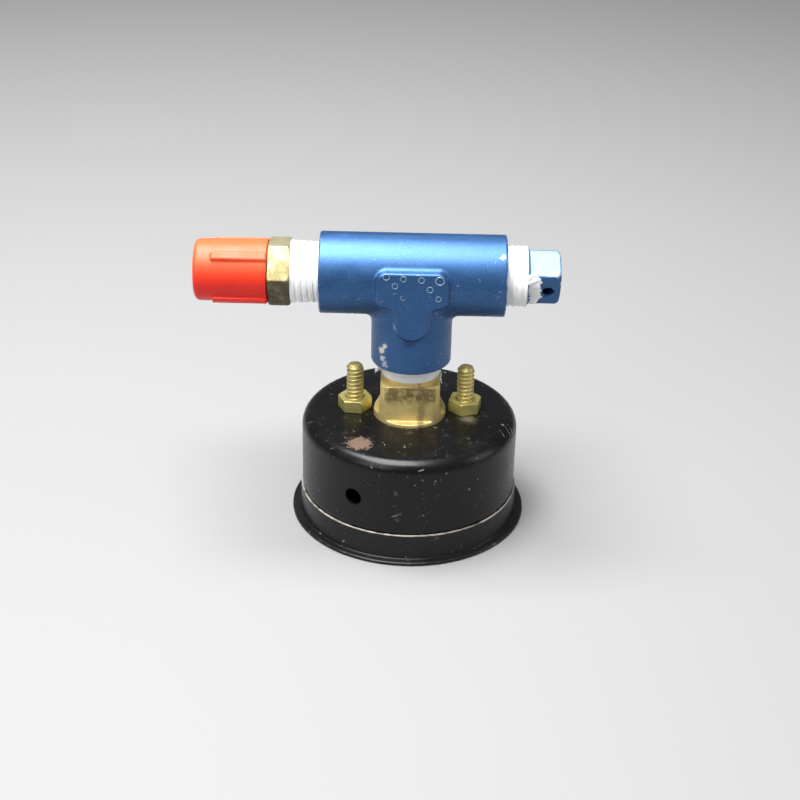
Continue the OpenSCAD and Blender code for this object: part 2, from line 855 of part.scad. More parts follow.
// Outline of the raised forging pad, with its origin on the run axis
module pad_outline() {
  union() {
    translate([-pad_w / 2 + pad_round, pad_bottom])
      square([pad_w - 2 * pad_round, pad_top - pad_bottom]);
    translate([-pad_w / 2, pad_bottom + pad_round])
      square([pad_w, pad_top - pad_bottom - 2 * pad_round]);
    for (x = [-1, 1], y = [pad_bottom + pad_round, pad_top - pad_round])
      translate([x * (pad_w / 2 - pad_round), y]) circle(pad_round);
    translate([-tongue_w / 2, tongue_end + tongue_w / 2]) square([tongue_w, pad_bottom - tongue_end]);
    translate([0, tongue_end + tongue_w / 2]) circle(tongue_w / 2);
  }
}

// Forged tee with tapered threads in its three ends
module pipe_tee() {
  color(anodised) difference() {
    union() {
      translate([-run_l / 2, 0, run_z]) rotate([0, 90, 0]) cylinder(h = run_l, r = run_r);
      post([0, 0], branch_z, branch_l, run_r);
      translate([0, pad_y, run_z]) rotate([90, 0, 0]) linear_extrude(2 * pad_y) pad_outline();
    }
    translate([-run_l / 2, 0, run_z]) rotate([0, 90, 0]) cylinder(h = run_l, r = tee_bore_r);
    post([0, 0], branch_z, branch_l, tee_bore_r);
    at_branch() tapered_port();
    at_left_end() tapered_port();
    at_right_end() tapered_port();
  }
}

// Tapered hole for one pipe thread
module tapered_port() {
  translate([0, 0, -port_depth])
    cylinder(h = port_depth + cut, r1 = taper_r(-port_depth) + tape_gap, r2 = taper_r(cut) + tape_gap);
}

// Tape on the thread of the flare fitting
module fitting_tape() {
  color(tape_white) at_left_end() thread_tape(fit_tape_l, fitting_tape_t);
}

// Hexagon fitting with a pipe thread and a flare thread
module flare_fitting() {
  thread_z = fit_tape_l + hex_t + relief_l;
  thread_l = flare_l - relief_l;
  corner_r = hex_af / 2 / cos(30);
  color([0.84, 0.78, 0.42]) at_left_end() difference() {
    union() {
      male_thread(engaged_l, fit_tape_l);
      translate([0, 0, fit_tape_l]) intersection() {
        rotate([0, 0, hex_turn]) hexagon(hex_af, hex_t);
        cylinder(h = hex_t, r1 = corner_r + hex_t - edge_cut, r2 = corner_r - edge_cut);
      }
      translate([0, 0, fit_tape_l + hex_t]) cylinder(h = relief_l, r = flare_relief_r);
      translate([0, 0, thread_z]) cylinder(h = thread_l, r = flare_r);
      translate([0, 0, thread_z + thread_l]) cylinder(h = nose_l, r1 = nose_r, r2 = nose_end_r);
    }
    translate([0, 0, -engaged_l - cut])
      cylinder(h = engaged_l + thread_z + flare_l + nose_l + 2 * cut, r = fit_bore_r);
  }
}

// Ribbed plastic cap that slips over the flare thread
module dust_cap() {
  start = fit_tape_l + hex_t + cap_gap;
  color([0.82, 0.14, 0.06]) at_left_end() translate([0, 0, start]) difference() {
    union() {
      rotate_extrude($fn = 96) difference() {
        polygon([[0, 0], [cap_open_r, 0], [cap_shut_r, cap_l], [0, cap_l]]);
        translate([cap_shut_r - cap_corner, cap_l - cap_corner]) difference() {
          square([cap_corner + cut, cap_corner + cut]);
          circle(cap_corner);
        }
      }
      for (i = [0 : rib_count - 1])
        rotate([0, 0, rib_turn + i * 360 / rib_count])
          translate([flare_r + cap_play + cap_wall / 2, -rib_w / 2, 0])
            cube([cap_wall / 2 + rib_h, rib_w, rib_l]);
    }
    translate([0, 0, -cut]) cylinder(h = cap_l - cap_end_t + cut, r = flare_r + cap_play);
  }
}

// Tape on the thread of the plug
module plug_tape() {
  color(tape_white) at_right_end() thread_tape(plug_tape_l, plug_tape_t);
}

// Plug with a square head and a lock-wire hole
module pipe_plug() {
  end_r = square_corner_r - edge_cut;
  color(anodised) at_right_end() difference() {
    union() {
      male_thread(engaged_l, plug_tape_l);
      translate([0, 0, plug_tape_l]) rotate([0, 0, square_turn]) intersection() {
        translate([-square_af / 2, -square_af / 2, 0]) cube([square_af, square_af, square_l]);
        cylinder(h = square_l, r1 = end_r + square_l, r2 = end_r);
        cylinder(h = square_l, r = square_corner_r);
      }
    }
    translate([0, 0, plug_tape_l + square_l - wire_from_end]) rotate([0, 0, square_turn])
      translate([0, square_af, 0]) rotate([90, 0, 0]) cylinder(h = 2 * square_af, d = wire_d);
  }
}

case();
bezel();
lens();
lens_gasket();
spacer_ring();
dial();
dial_screws();
pointer_stop();
pointer();
pointer_hub();
pinion_staff();
hairspring_collet();
hairspring();
spring_stud();
front_plate();
back_plate();
movement_pillars();
movement_screws();
sector_gear();
sector_arbor();
sector_link_pin();
link();
tip_link_pin();
tube_tip();
bourdon_tube();
socket();
restrictor();
mounting_studs();
stud_nuts();
stem_tape();
pipe_tee();
fitting_tape();
flare_fitting();
dust_cap();
plug_tape();
pipe_plug();
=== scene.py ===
"""Visual model of a panel pressure gauge with a pipe tee on its stem, built around its CAD frame."""
import json
import math

import bpy
import numpy as np
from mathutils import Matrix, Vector


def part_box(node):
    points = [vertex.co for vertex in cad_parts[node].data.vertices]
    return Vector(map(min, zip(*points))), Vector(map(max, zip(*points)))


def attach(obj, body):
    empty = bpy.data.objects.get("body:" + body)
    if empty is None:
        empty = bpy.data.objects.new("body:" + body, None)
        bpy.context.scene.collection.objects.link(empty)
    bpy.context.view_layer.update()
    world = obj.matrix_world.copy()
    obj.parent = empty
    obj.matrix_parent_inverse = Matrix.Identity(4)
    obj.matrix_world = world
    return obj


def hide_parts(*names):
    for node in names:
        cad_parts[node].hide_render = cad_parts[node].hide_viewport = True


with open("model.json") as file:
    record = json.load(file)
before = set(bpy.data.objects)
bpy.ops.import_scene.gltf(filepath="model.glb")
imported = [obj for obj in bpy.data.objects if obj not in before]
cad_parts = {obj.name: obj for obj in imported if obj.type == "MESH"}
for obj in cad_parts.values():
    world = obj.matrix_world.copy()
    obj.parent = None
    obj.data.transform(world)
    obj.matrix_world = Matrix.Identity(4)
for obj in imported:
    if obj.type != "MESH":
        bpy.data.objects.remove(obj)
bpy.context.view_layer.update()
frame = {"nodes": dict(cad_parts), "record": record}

bl_info = {
    "name": "Panel Gauge and Tee",
    "version": (1, 0, 0),
    "blender": (4, 5, 0),
    "location": "View3D > Sidebar > Gauge",
    "description": "Builds a panel pressure gauge with a pipe tee, a capped fitting and a plug",
    "category": "Object",
}

MM = 0.001


# ---------------------------------------------------------------- places taken from the frame

def corners(node):
    """Lowest and highest corner of a CAD node, in millimetres."""
    low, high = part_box(node)
    return np.array(low) / MM, np.array(high) / MM


TEE_LOW, TEE_HIGH = corners("pipe_tee")
CASE_LOW, CASE_HIGH = corners("case")
BEZEL_HIGH = corners("bezel")[1]
STEM_LOW, STEM_HIGH = corners("socket")
FITTING_LOW, FITTING_HIGH = corners("flare_fitting")
CAP_LOW, CAP_HIGH = corners("dust_cap")
PLUG_LOW, PLUG_HIGH = corners("pipe_plug")
STUDS_LOW, STUDS_HIGH = corners("mounting_studs")
NUTS_LOW, NUTS_HIGH = corners("stud_nuts")
LENS_LOW, LENS_HIGH = corners("lens")
GASKET_LOW, GASKET_HIGH = corners("lens_gasket")
DIAL_LOW = corners("dial")[0]
TUBE_LOW, TUBE_HIGH = corners("bourdon_tube")
FIT_TAPE_LOW, FIT_TAPE_HIGH = corners("fitting_tape")
PLUG_TAPE_HIGH = corners("plug_tape")[1]
STEM_TAPE_LOW = corners("stem_tape")[0]

RUN_Z = (FIT_TAPE_LOW[2] + FIT_TAPE_HIGH[2]) / 2
RUN_R = TEE_HIGH[2] - RUN_Z
RUN_HALF = TEE_HIGH[0]
BRANCH_Z = TEE_LOW[2]
PAD_Y = TEE_HIGH[1]
CASE_TOP = CASE_HIGH[2]
CASE_R = CASE_HIGH[0]


def body_of_node(node):
    """Name of the CAD body that holds a node."""
    return next(name for name, nodes in frame["record"]["behaviour"]["bodies"].items() if node in nodes)


# ---------------------------------------------------------------- settings

def length(name, description, default):
    """A property that holds a length in millimetres."""
    return bpy.props.FloatProperty(name=name, description=description + ", in mm", default=default, min=0.0)


def colour(name, description, default):
    """A property that holds a linear colour."""
    return bpy.props.FloatVectorProperty(
        name=name, description=description, subtype="COLOR", size=3, min=0.0, max=1.0, default=default)


class GAUGE_PG_case(bpy.types.PropertyGroup):
    wall: length("Wall", "Sheet thickness of the case", 0.8)
    corner: length("Back corner", "Corner radius at the case back", 3.2)
    neck_step: length("Neck step", "Step of the case under the bezel skirt", 0.25)
    neck_gap: length("Neck gap", "Length of bare neck behind the skirt", 0.35)
    hole_play: length("Hole play", "Gap round the stem in the case back", 0.12)
    vent_d: length("Vent", "Diameter of the vent hole", 4.3)
    vent_z: length("Vent height", "Height of the vent hole", 15.4)
    vent_turn: bpy.props.FloatProperty(
        name="Vent turn", description="Turn of the vent hole about the gauge axis",
        default=math.radians(240.6), subtype="ANGLE")
    enamel: colour("Enamel", "Colour of the case", (0.0035, 0.0035, 0.004))
    chip: colour("Chip", "Colour of the primer where enamel is missing", (0.145, 0.095, 0.07))


class GAUGE_PG_bezel(bpy.types.PropertyGroup):
    brim_t: length("Brim", "Thickness of the bezel brim", 0.87)
    wall: length("Wall", "Sheet thickness of the bezel", 0.6)
    lip: length("Lip", "Width of the lip over the lens", 2.3)
    flare: length("Flare", "Extra radius of the skirt at the brim", 0.2)
    enamel: colour("Enamel", "Colour of the bezel", (0.004, 0.004, 0.0045))


class GAUGE_PG_tee(bpy.types.PropertyGroup):
    step: length("Mesh step", "Spacing of the mesh", 0.27)
    end_round: length("End round", "Edge radius at the ends of the run", 0.45)
    junction: length("Junction", "Blend between run and branch", 2.6)
    pad_width: length("Pad width", "Width of the forging pad", 17.0)
    tongue: length("Tongue", "Width of the tongue on the branch", 7.6)
    tongue_end: length("Tongue end", "Depth of the tongue end under the run axis", 12.7)
    bore: length("Bore", "Radius of the inner passage", 5.2)
    anodise: colour("Anodise", "Colour of the blue anodising", (0.030, 0.115, 0.30))
    worn: colour("Worn metal", "Colour where the anodising is rubbed", (0.62, 0.68, 0.76))


class GAUGE_PG_stem(bpy.types.PropertyGroup):
    step: length("Mesh step", "Spacing of the mesh", 0.24)
    collar_r: length("Collar", "Radius of the round collar", 8.75)
    flats_w: length("Side flats", "Distance across the side flats", 14.3)
    flats_d: length("Front flats", "Distance across the front and back flats", 13.4)
    shoulder: length("Shoulder", "Height of the shoulder above the case back", 9.75)
    boss: length("Boss", "Height of the boss above the shoulder", 1.3)
    brass: colour("Brass", "Colour of the stem", (0.78, 0.62, 0.25))
    stain: colour("Stain", "Colour of the tarnish", (0.115, 0.078, 0.034))


class GAUGE_PG_hardware(bpy.types.PropertyGroup):
    pitch: length("Stud pitch", "Thread pitch of the studs", 1.058)
    thread_depth: length("Thread depth", "Depth of the stud thread", 0.52)
    nut_af: length("Nut size", "Distance across the nut flats", 7.25)
    left_turn: bpy.props.FloatProperty(
        name="Left nut", description="Turn of the left nut", default=math.radians(-5), subtype="ANGLE")
    right_turn: bpy.props.FloatProperty(
        name="Right nut", description="Turn of the right nut", default=math.radians(17), subtype="ANGLE")
    stud: colour("Stud", "Colour of the studs", (0.74, 0.63, 0.26))
    nut: colour("Nut", "Colour of the nuts", (0.72, 0.65, 0.23))


class GAUGE_PG_line(bpy.types.PropertyGroup):
    pipe_r: length("Pipe radius", "Radius of the pipe thread at the face of the tee", 6.62)
    pipe_pitch: length("Pipe pitch", "Pitch of the pipe thread", 1.411)
    hex_af: length("Hexagon", "Distance across the hexagon flats", 14.3)
    hex_t: length("Hexagon thickness", "Thickness of the hexagon", 5.15)
    hex_turn: bpy.props.FloatProperty(
        name="Hexagon turn", description="Turn of the hexagon", default=math.radians(37), subtype="ANGLE")
    flare_r: length("Flare thread", "Radius of the flare thread", 5.56)
    flare_pitch: length("Flare pitch", "Pitch of the flare thread", 1.27)
    cap_rib: length("Cap rib", "Height of the cap ribs", 0.65)
    square_af: length("Square", "Distance across the plug square", 9.5)
    square_r: length("Square corners", "Radius of the plug corners", 6.2)
    wire_d: length("Wire hole", "Diameter of the lock-wire hole", 2.5)
    plating: colour("Plating", "Colour of the plated fitting", (0.42, 0.35, 0.16))
    cap: colour("Cap", "Colour of the dust cap", (0.86, 0.020, 0.008))
    tape: colour("Tape", "Colour of the thread tape", (0.93, 0.93, 0.92))


class GAUGE_PG_dial(bpy.types.PropertyGroup):
    numbers: bpy.props.IntProperty(name="Numbers", description="Numbered marks after zero", default=5, min=1)
    number_step: bpy.props.IntProperty(name="Number step", description="Value between numbers", default=3,
                                       min=1)
    scale_r: length("Scale", "Outer radius of the scale", 22.4)
    number_r: length("Number circle", "Radius of the circle the numbers stand on", 16.6)
    number_h: length("Number height", "Height of the numbers", 3.6)
    zero: bpy.props.FloatProperty(
        name="Zero", description="Direction of zero on the dial", default=math.radians(-45), subtype="ANGLE")
    span: bpy.props.FloatProperty(
        name="Span", description="Angle of the whole scale", default=math.radians(270), subtype="ANGLE")
    face: colour("Face", "Colour of the dial", (0.012, 0.012, 0.013))
    ink: colour("Ink", "Colour of the print", (0.82, 0.82, 0.78))
    pointer: colour("Pointer", "Colour of the pointer", (0.75, 0.14, 0.02))


class GAUGE_PG_stage(bpy.types.PropertyGroup):
    lens: bpy.props.FloatProperty(name="Focal length", description="Camera focal length in mm", default=71.8)
    roll: bpy.props.FloatProperty(name="Roll", description="Camera roll in degrees", default=1.14)
    floor: colour("Floor", "Colour of the floor", (0.27, 0.27, 0.272))


SETTINGS = {
    "gauge_case": GAUGE_PG_case, "gauge_bezel": GAUGE_PG_bezel, "gauge_tee": GAUGE_PG_tee,
    "gauge_stem": GAUGE_PG_stem, "gauge_hardware": GAUGE_PG_hardware, "gauge_line": GAUGE_PG_line,
    "gauge_dial": GAUGE_PG_dial, "gauge_stage": GAUGE_PG_stage,
}


# ---------------------------------------------------------------- node tree helpers

class Tree:
    """Adds nodes to a shader or geometry node tree in few words."""

    def __init__(self, tree):
        self.tree = tree

    def add(self, kind, inputs=None, **settings):
        """Adds a node. inputs maps socket names or numbers to values or to other nodes' sockets."""
        node = self.tree.nodes.new(kind)
        for key, value in settings.items():
            setattr(node, key, value)
        for key, value in (inputs or {}).items():
            self.plug(node.inputs[key], value)
        return node

    def plug(self, socket, value):
        if isinstance(value, bpy.types.NodeSocket):
            self.tree.links.new(value, socket)
        elif socket.type == "RGBA" and len(value) == 3:
            socket.default_value = (*value, 1.0)
        else:
            socket.default_value = value

    def math(self, operation, *values, clamp=False):
        node = self.add("ShaderNodeMath", dict(enumerate(values)), operation=operation, use_clamp=clamp)
        return node.outputs[0]

    def times(self, first, second):
        return self.math("MULTIPLY", first, second)

    def plus(self, first, second):
        return self.math("ADD", first, second)

    def minus(self, first, second):
        return self.math("SUBTRACT", first, second)

    def most(self, first, second):
        return self.math("MAXIMUM", first, second)

    def vector(self, operation, *values):
        node = self.add("ShaderNodeVectorMath", dict(enumerate(values)), operation=operation)
        return node.outputs["Value" if operation in ("LENGTH", "DOT_PRODUCT") else "Vector"]

    def smooth(self, value, low, high, out_low=0.0, out_high=1.0):
        """Smooth step from out_low at low to out_high at high."""
        node = self.add("ShaderNodeMapRange", interpolation_type="SMOOTHSTEP")
        for key, item in zip(("Value", "From Min", "From Max", "To Min", "To Max"),
                             (value, low, high, out_low, out_high)):
            self.plug(node.inputs[key], item)
        return node.outputs["Result"]

    def mix(self, factor, first, second):
        node = self.add("ShaderNodeMix", data_type="RGBA")
        self.plug(node.inputs[0], factor)
        self.plug(node.inputs[6], first)
        self.plug(node.inputs[7], second)
        return node.outputs[2]

    def noise(self, vector, scale, detail=3.0, roughness=0.55):
        node = self.add("ShaderNodeTexNoise",
                        {"Vector": vector, "Scale": scale, "Detail": detail, "Roughness": roughness})
        return node.outputs["Fac"]

    def cells(self, vector, scale, feature="F1"):
        node = self.add("ShaderNodeTexVoronoi", {"Vector": vector, "Scale": scale}, feature=feature)
        return node.outputs["Distance"]


def shader_group(name, inputs, outputs):
    """New shader node group with named float or vector sockets. Returns (group, helper, inputs, outputs)."""
    group = bpy.data.node_groups.new(name, "ShaderNodeTree")
    for label, default in inputs.items():
        kind = "NodeSocketVector" if default is None else "NodeSocketFloat"
        socket = group.interface.new_socket(label, in_out="INPUT", socket_type=kind)
        if default is not None:
            socket.default_value = default
    for label in outputs:
        group.interface.new_socket(label, in_out="OUTPUT", socket_type="NodeSocketFloat")
    helper = Tree(group)
    source = group.nodes.new("NodeGroupInput").outputs
    target = group.nodes.new("NodeGroupOutput").inputs
    return group, helper, source, target


def grain_group():
    """Fine blasted or cast texture: a height and a slow cloudy value."""
    group, t, source, target = shader_group(
        "Grain", {"Vector": None, "Scale": 2600.0, "Cloud Scale": 140.0}, ("Height", "Cloud"))
    fine = t.noise(source["Vector"], source["Scale"], 4.0, 0.65)
    pits = t.smooth(t.cells(source["Vector"], t.times(source["Scale"], 0.6)), 0.0, 0.5)
    t.plug(target["Height"], t.plus(fine, t.times(pits, 0.4)))
    t.plug(target["Cloud"], t.noise(source["Vector"], source["Cloud Scale"], 4.0, 0.6))
    return group


def scratch_group():
    """Thin scattered scratches that run in two directions."""
    group, t, source, target = shader_group(
        "Scratches", {"Vector": None, "Scale": 1.0, "Amount": 0.5}, ("Mask",))
    masks = []
    for turn, stretch in ((0.35, (90.0, 1500.0, 1500.0)), (-0.9, (1300.0, 120.0, 1300.0))):
        turned = t.add("ShaderNodeMapping", {"Vector": source["Vector"], "Rotation": (0.2, turn, turn)})
        stretched = t.vector("MULTIPLY", turned.outputs["Vector"], stretch)
        scaled = t.vector("SCALE", stretched)
        t.plug(scaled.node.inputs["Scale"], source["Scale"])
        lines = t.noise(scaled, 1.0, 1.0, 0.4)
        masks.append(t.smooth(lines, 0.735, 0.78))
    patch = t.smooth(t.noise(source["Vector"], 130.0, 2.0), 0.45, 0.62)
    both = t.most(masks[0], masks[1])
    t.plug(target["Mask"], t.times(t.times(both, patch), source["Amount"]))
    return group


def speck_group():
    """Small irregular specks of dust or paint."""
    group, t, source, target = shader_group(
        "Specks", {"Vector": None, "Scale": 900.0, "Size": 0.16, "Amount": 1.0}, ("Mask",))
    warp = t.noise(source["Vector"], t.times(source["Scale"], 2.2), 2.0)
    bent = t.vector("ADD", source["Vector"], t.vector("SCALE", t.add(
        "ShaderNodeCombineXYZ", {0: warp, 1: warp, 2: warp}).outputs[0]))
    bent.node.inputs[1].links[0].from_node.inputs["Scale"].default_value = 0.0006
    spots = t.cells(bent, source["Scale"])
    keep = t.smooth(t.noise(source["Vector"], t.times(source["Scale"], 0.35), 2.0), 0.52, 0.66)
    dot = t.minus(1.0, t.smooth(spots, t.times(source["Size"], 0.6), source["Size"]))
    t.plug(target["Mask"], t.times(t.times(dot, keep), source["Amount"]))
    return group


def wear_group():
    """Rubbed edges: takes the mesh's edge value and breaks it up."""
    group, t, source, target = shader_group(
        "Edge Wear", {"Vector": None, "Edge": 0.0, "Scale": 500.0, "Amount": 0.6}, ("Mask",))
    ragged = t.noise(source["Vector"], source["Scale"], 4.0, 0.7)
    level = t.minus(1.25, source["Amount"])
    total = t.plus(source["Edge"], t.minus(ragged, 0.5))
    t.plug(target["Mask"], t.smooth(total, t.minus(level, 0.12), t.plus(level, 0.12)))
    return group


class Shader(Tree):
    """A material with a Principled shader, and the shared groups ready to place."""

    def __init__(self, name, **constants):
        self.material = bpy.data.materials.new(name)
        self.material.use_nodes = True
        super().__init__(self.material.node_tree)
        self.surface = self.tree.nodes["Principled BSDF"]
        for key, value in constants.items():
            self.plug(self.surface.inputs[key.replace("_", " ")], value)
        self.place = self.add("ShaderNodeTexCoord").outputs["Object"]

    def group(self, name, output=0, **values):
        """Places a shared group on object coordinates."""
        node = self.add("ShaderNodeGroup", node_tree=bpy.data.node_groups[name])
        self.plug(node.inputs["Vector"], self.place)
        for key, value in values.items():
            self.plug(node.inputs[key.replace("_", " ")], value)
        return node.outputs[output]

    def attribute(self, name):
        return self.add("ShaderNodeAttribute", attribute_name=name).outputs["Fac"]

    def axis(self, letter):
        """One coordinate of the place on the object, in millimetres."""
        split = self.add("ShaderNodeSeparateXYZ", {0: self.place})
        return self.times(split.outputs[letter], 1.0 / MM)

    def near(self, at, radius, soft):
        """One inside a ball round a point, in millimetres, falling to zero over soft."""
        gap = self.vector("SUBTRACT", self.place, tuple(MM * v for v in at))
        distance = self.times(self.vector("LENGTH", gap), 1.0 / MM)
        ragged = self.plus(distance, self.times(self.minus(self.noise(self.place, 1100.0, 6.0, 0.78), 0.5),
                                                radius * 3.2))
        return self.minus(1.0, self.smooth(ragged, radius - soft, radius))

    def finish(self, colour=None, roughness=None, height=None, distance=0.00005, strength=1.0, metallic=None):
        for key, value in (("Base Color", colour), ("Roughness", roughness), ("Metallic", metallic)):
            if value is not None:
                self.plug(self.surface.inputs[key], value)
        if height is not None:
            bump = self.add("ShaderNodeBump", {"Height": height, "Distance": distance, "Strength": strength})
            self.plug(self.surface.inputs["Normal"], bump.outputs["Normal"])
        return self.material


# ---------------------------------------------------------------- geometry node trees

def geometry_tree(name, inputs):
    """New geometry node tree with named inputs, each given as its default or, without one, its kind."""
    group = bpy.data.node_groups.new(name, "GeometryNodeTree")
    for label, default in inputs.items():
        plain = isinstance(default, str)
        kind = default if plain else "Int" if isinstance(default, int) else "Float"
        socket = group.interface.new_socket(label, in_out="INPUT", socket_type="NodeSocket" + kind)
        if not plain:
            socket.default_value = default
    group.interface.new_socket("Geometry", in_out="OUTPUT", socket_type="NodeSocketGeometry")
    return Tree(group), group.nodes.new("NodeGroupInput").outputs, group.nodes.new("NodeGroupOutput").inputs


def close_tree(t, target, geometry, material):
    """Ends a tree in Realize Instances and Set Material."""
    plain = t.add("GeometryNodeRealizeInstances", {0: geometry})
    painted = t.add("GeometryNodeSetMaterial", {"Geometry": plain.outputs[0], "Material": material})
    t.plug(target["Geometry"], painted.outputs[0])


def winding_tree():
    """A screw thread or a wound sleeve, in mm along +Z, repeated in a row along X."""
    t, source, target = geometry_tree("Winding", {
        "Radius": 2.0, "End Radius": 2.0,
        "Inner Radius": 0.0, "Length": 10.0,
        "Pitch": 1.0, "Depth": 0.3,
        "Flat": 0.25, "Chamfer": 0.0,
        "Wrinkle": 0.0, "Seed": 0.0,
        "Segments": 64, "Rows": 100, "Wrap": 2,
        "Count": 1, "Spacing": 0.0,
        "Turn": "Vector", "Place": "Vector",
        "Material": "Material"})
    rows_all = t.plus(source["Rows"], source["Wrap"])
    grid = t.add("GeometryNodeMeshGrid", {
        "Size X": source["Segments"], "Size Y": t.minus(rows_all, 1.0),
        "Vertices X": t.plus(source["Segments"], 1.0), "Vertices Y": rows_all})
    split = t.add("ShaderNodeSeparateXYZ", {0: t.add("GeometryNodeInputPosition").outputs[0]})
    column = t.plus(split.outputs["X"], t.math("DIVIDE", source["Segments"], 2.0))
    row = t.plus(split.outputs["Y"], t.math("DIVIDE", t.minus(rows_all, 1.0), 2.0))
    turn = t.math("DIVIDE", column, source["Segments"])
    angle = t.times(turn, math.tau)
    share = t.math("DIVIDE", t.minus(row, 1.0), t.minus(source["Rows"], 1.0), clamp=True)
    returned = t.math("GREATER_THAN", row, t.plus(source["Rows"], 1.5))
    along = t.times(share, source["Length"])
    height = t.times(along, t.minus(1.0, returned))
    outer = t.times(t.math("GREATER_THAN", row, 0.5),
                    t.math("LESS_THAN", row, t.plus(source["Rows"], 0.5)))
    phase = t.math("FRACT", t.minus(t.math("DIVIDE", along, source["Pitch"]), turn))
    flank = t.math("ABSOLUTE", t.minus(t.times(phase, 2.0), 1.0))
    groove = t.smooth(flank, source["Flat"], t.minus(1.0, t.times(source["Flat"], 0.5)))
    ends = t.math("MINIMUM", along, t.minus(source["Length"], along))
    fade = t.smooth(ends, 0.0, t.times(source["Pitch"], 0.6))
    cut = t.times(t.times(groove, source["Depth"]), fade)
    near_end = t.minus(along, t.minus(source["Length"], source["Chamfer"]))
    drop = t.most(near_end, 0.0)
    cosine, sine = t.math("COSINE", angle), t.math("SINE", angle)
    ring = t.add("ShaderNodeCombineXYZ", {
        0: cosine, 1: sine, 2: t.plus(t.times(along, 0.55), source["Seed"])}).outputs[0]
    crumple = t.minus(t.noise(ring, 3.2, 5.0, 0.62), 0.5)
    radius = t.plus(source["Radius"], t.times(share, t.minus(source["End Radius"], source["Radius"])))
    radius = t.minus(t.minus(radius, cut), drop)
    radius = t.plus(radius, t.times(crumple, source["Wrinkle"]))
    radius = t.plus(t.times(radius, outer),
                    t.times(source["Inner Radius"], t.minus(1.0, outer)))
    placed = t.add("ShaderNodeCombineXYZ", {
        0: t.times(radius, cosine), 1: t.times(radius, sine), 2: height}).outputs[0]
    shaped = t.add("GeometryNodeSetPosition", {"Geometry": grid.outputs["Mesh"], "Position": placed})
    closed = t.add("GeometryNodeMergeByDistance", {"Geometry": shaped.outputs[0], "Distance": 0.0005})
    smooth = t.add("GeometryNodeSetShadeSmooth", {"Geometry": closed.outputs[0], "Shade Smooth": True})
    turned = t.add("GeometryNodeTransform", {"Geometry": smooth.outputs[0], "Rotation": source["Turn"]})
    step = t.add("ShaderNodeCombineXYZ", {0: source["Spacing"]}).outputs[0]
    spots = t.add("GeometryNodeMeshLine", {"Count": source["Count"], "Offset": step})
    row_of = t.add("GeometryNodeInstanceOnPoints", {
        "Points": spots.outputs[0], "Instance": turned.outputs[0]}).outputs[0]
    moved = t.add("GeometryNodeTransform", {"Geometry": row_of, "Translation": source["Place"]})
    metres = t.add("GeometryNodeTransform", {"Geometry": moved.outputs[0], "Scale": (MM, MM, MM)})
    close_tree(t, target, metres.outputs[0], source["Material"])
    return t.tree


def ring_marks_tree():
    """Small round punch marks spread over a flat face by the points of the incoming mesh."""
    t, source, target = geometry_tree("Punch Marks", {
        "Points": "Geometry", "Ring Radius": 0.6,
        "Rim": 0.1, "Material": "Material"})
    circle = t.add("GeometryNodeCurvePrimitiveCircle", {"Resolution": 28, "Radius": source["Ring Radius"]})
    rim = t.add("GeometryNodeCurvePrimitiveCircle", {"Resolution": 8, "Radius": source["Rim"]})
    ring = t.add("GeometryNodeCurveToMesh", {"Curve": circle.outputs[0], "Profile Curve": rim.outputs[0]})
    size = t.add("GeometryNodeInputNamedAttribute", data_type="FLOAT")
    size.inputs["Name"].default_value = "size"
    placed = t.add("GeometryNodeInstanceOnPoints", {
        "Points": source["Points"], "Instance": ring.outputs[0],
        "Rotation": (math.pi / 2, 0.0, 0.0), "Scale": size.outputs[0]})
    smooth = t.add("GeometryNodeSetShadeSmooth", {"Geometry": t.add(
        "GeometryNodeRealizeInstances", {0: placed.outputs[0]}).outputs[0], "Shade Smooth": True})
    metres = t.add("GeometryNodeTransform", {"Geometry": smooth.outputs[0], "Scale": (MM, MM, MM)})
    close_tree(t, target, metres.outputs[0], source["Material"])
    return t.tree


def scale_marks_tree():
    """Lines of a dial scale on an arc, longer at every numbered mark."""
    t, source, target = geometry_tree("Scale Marks", {
        "Radius": 22.0, "Length": 3.0,
        "Short": 0.5, "Width": 0.35,
        "Thickness": 0.03, "Count": 31,
        "Every": 6, "Start": 0.0, "Span": 4.7,
        "Height": 0.0, "Material": "Material"})
    line = t.add("GeometryNodeMeshLine", {"Count": source["Count"]})
    index = t.add("GeometryNodeInputIndex").outputs[0]
    share = t.math("DIVIDE", index, t.minus(source["Count"], 1.0))
    angle = t.plus(source["Start"], t.times(share, source["Span"]))
    minor = t.math("GREATER_THAN", t.math("MODULO", index, source["Every"]), 0.5)
    size = t.minus(1.0, t.times(minor, source["Short"]))
    long = t.times(source["Length"], size)
    middle = t.minus(source["Radius"], t.times(long, 0.5))
    place = t.add("ShaderNodeCombineXYZ", {
        0: t.times(middle, t.math("COSINE", angle)),
        1: t.times(middle, t.math("SINE", angle)), 2: source["Height"]}).outputs[0]
    points = t.add("GeometryNodeSetPosition", {"Geometry": line.outputs[0], "Position": place})
    block = t.add("GeometryNodeMeshCube", {"Size": t.add("ShaderNodeCombineXYZ", {
        0: source["Length"], 1: source["Width"], 2: source["Thickness"]}).outputs[0]})
    marks = t.add("GeometryNodeInstanceOnPoints", {
        "Points": points.outputs[0], "Instance": block.outputs[0],
        "Rotation": t.add("ShaderNodeCombineXYZ", {2: angle}).outputs[0],
        "Scale": t.add("ShaderNodeCombineXYZ", {0: size, 1: 1.0, 2: 1.0}).outputs[0]})
    metres = t.add("GeometryNodeTransform", {"Geometry": marks.outputs[0], "Scale": (MM, MM, MM)})
    close_tree(t, target, metres.outputs[0], source["Material"])
    return t.tree


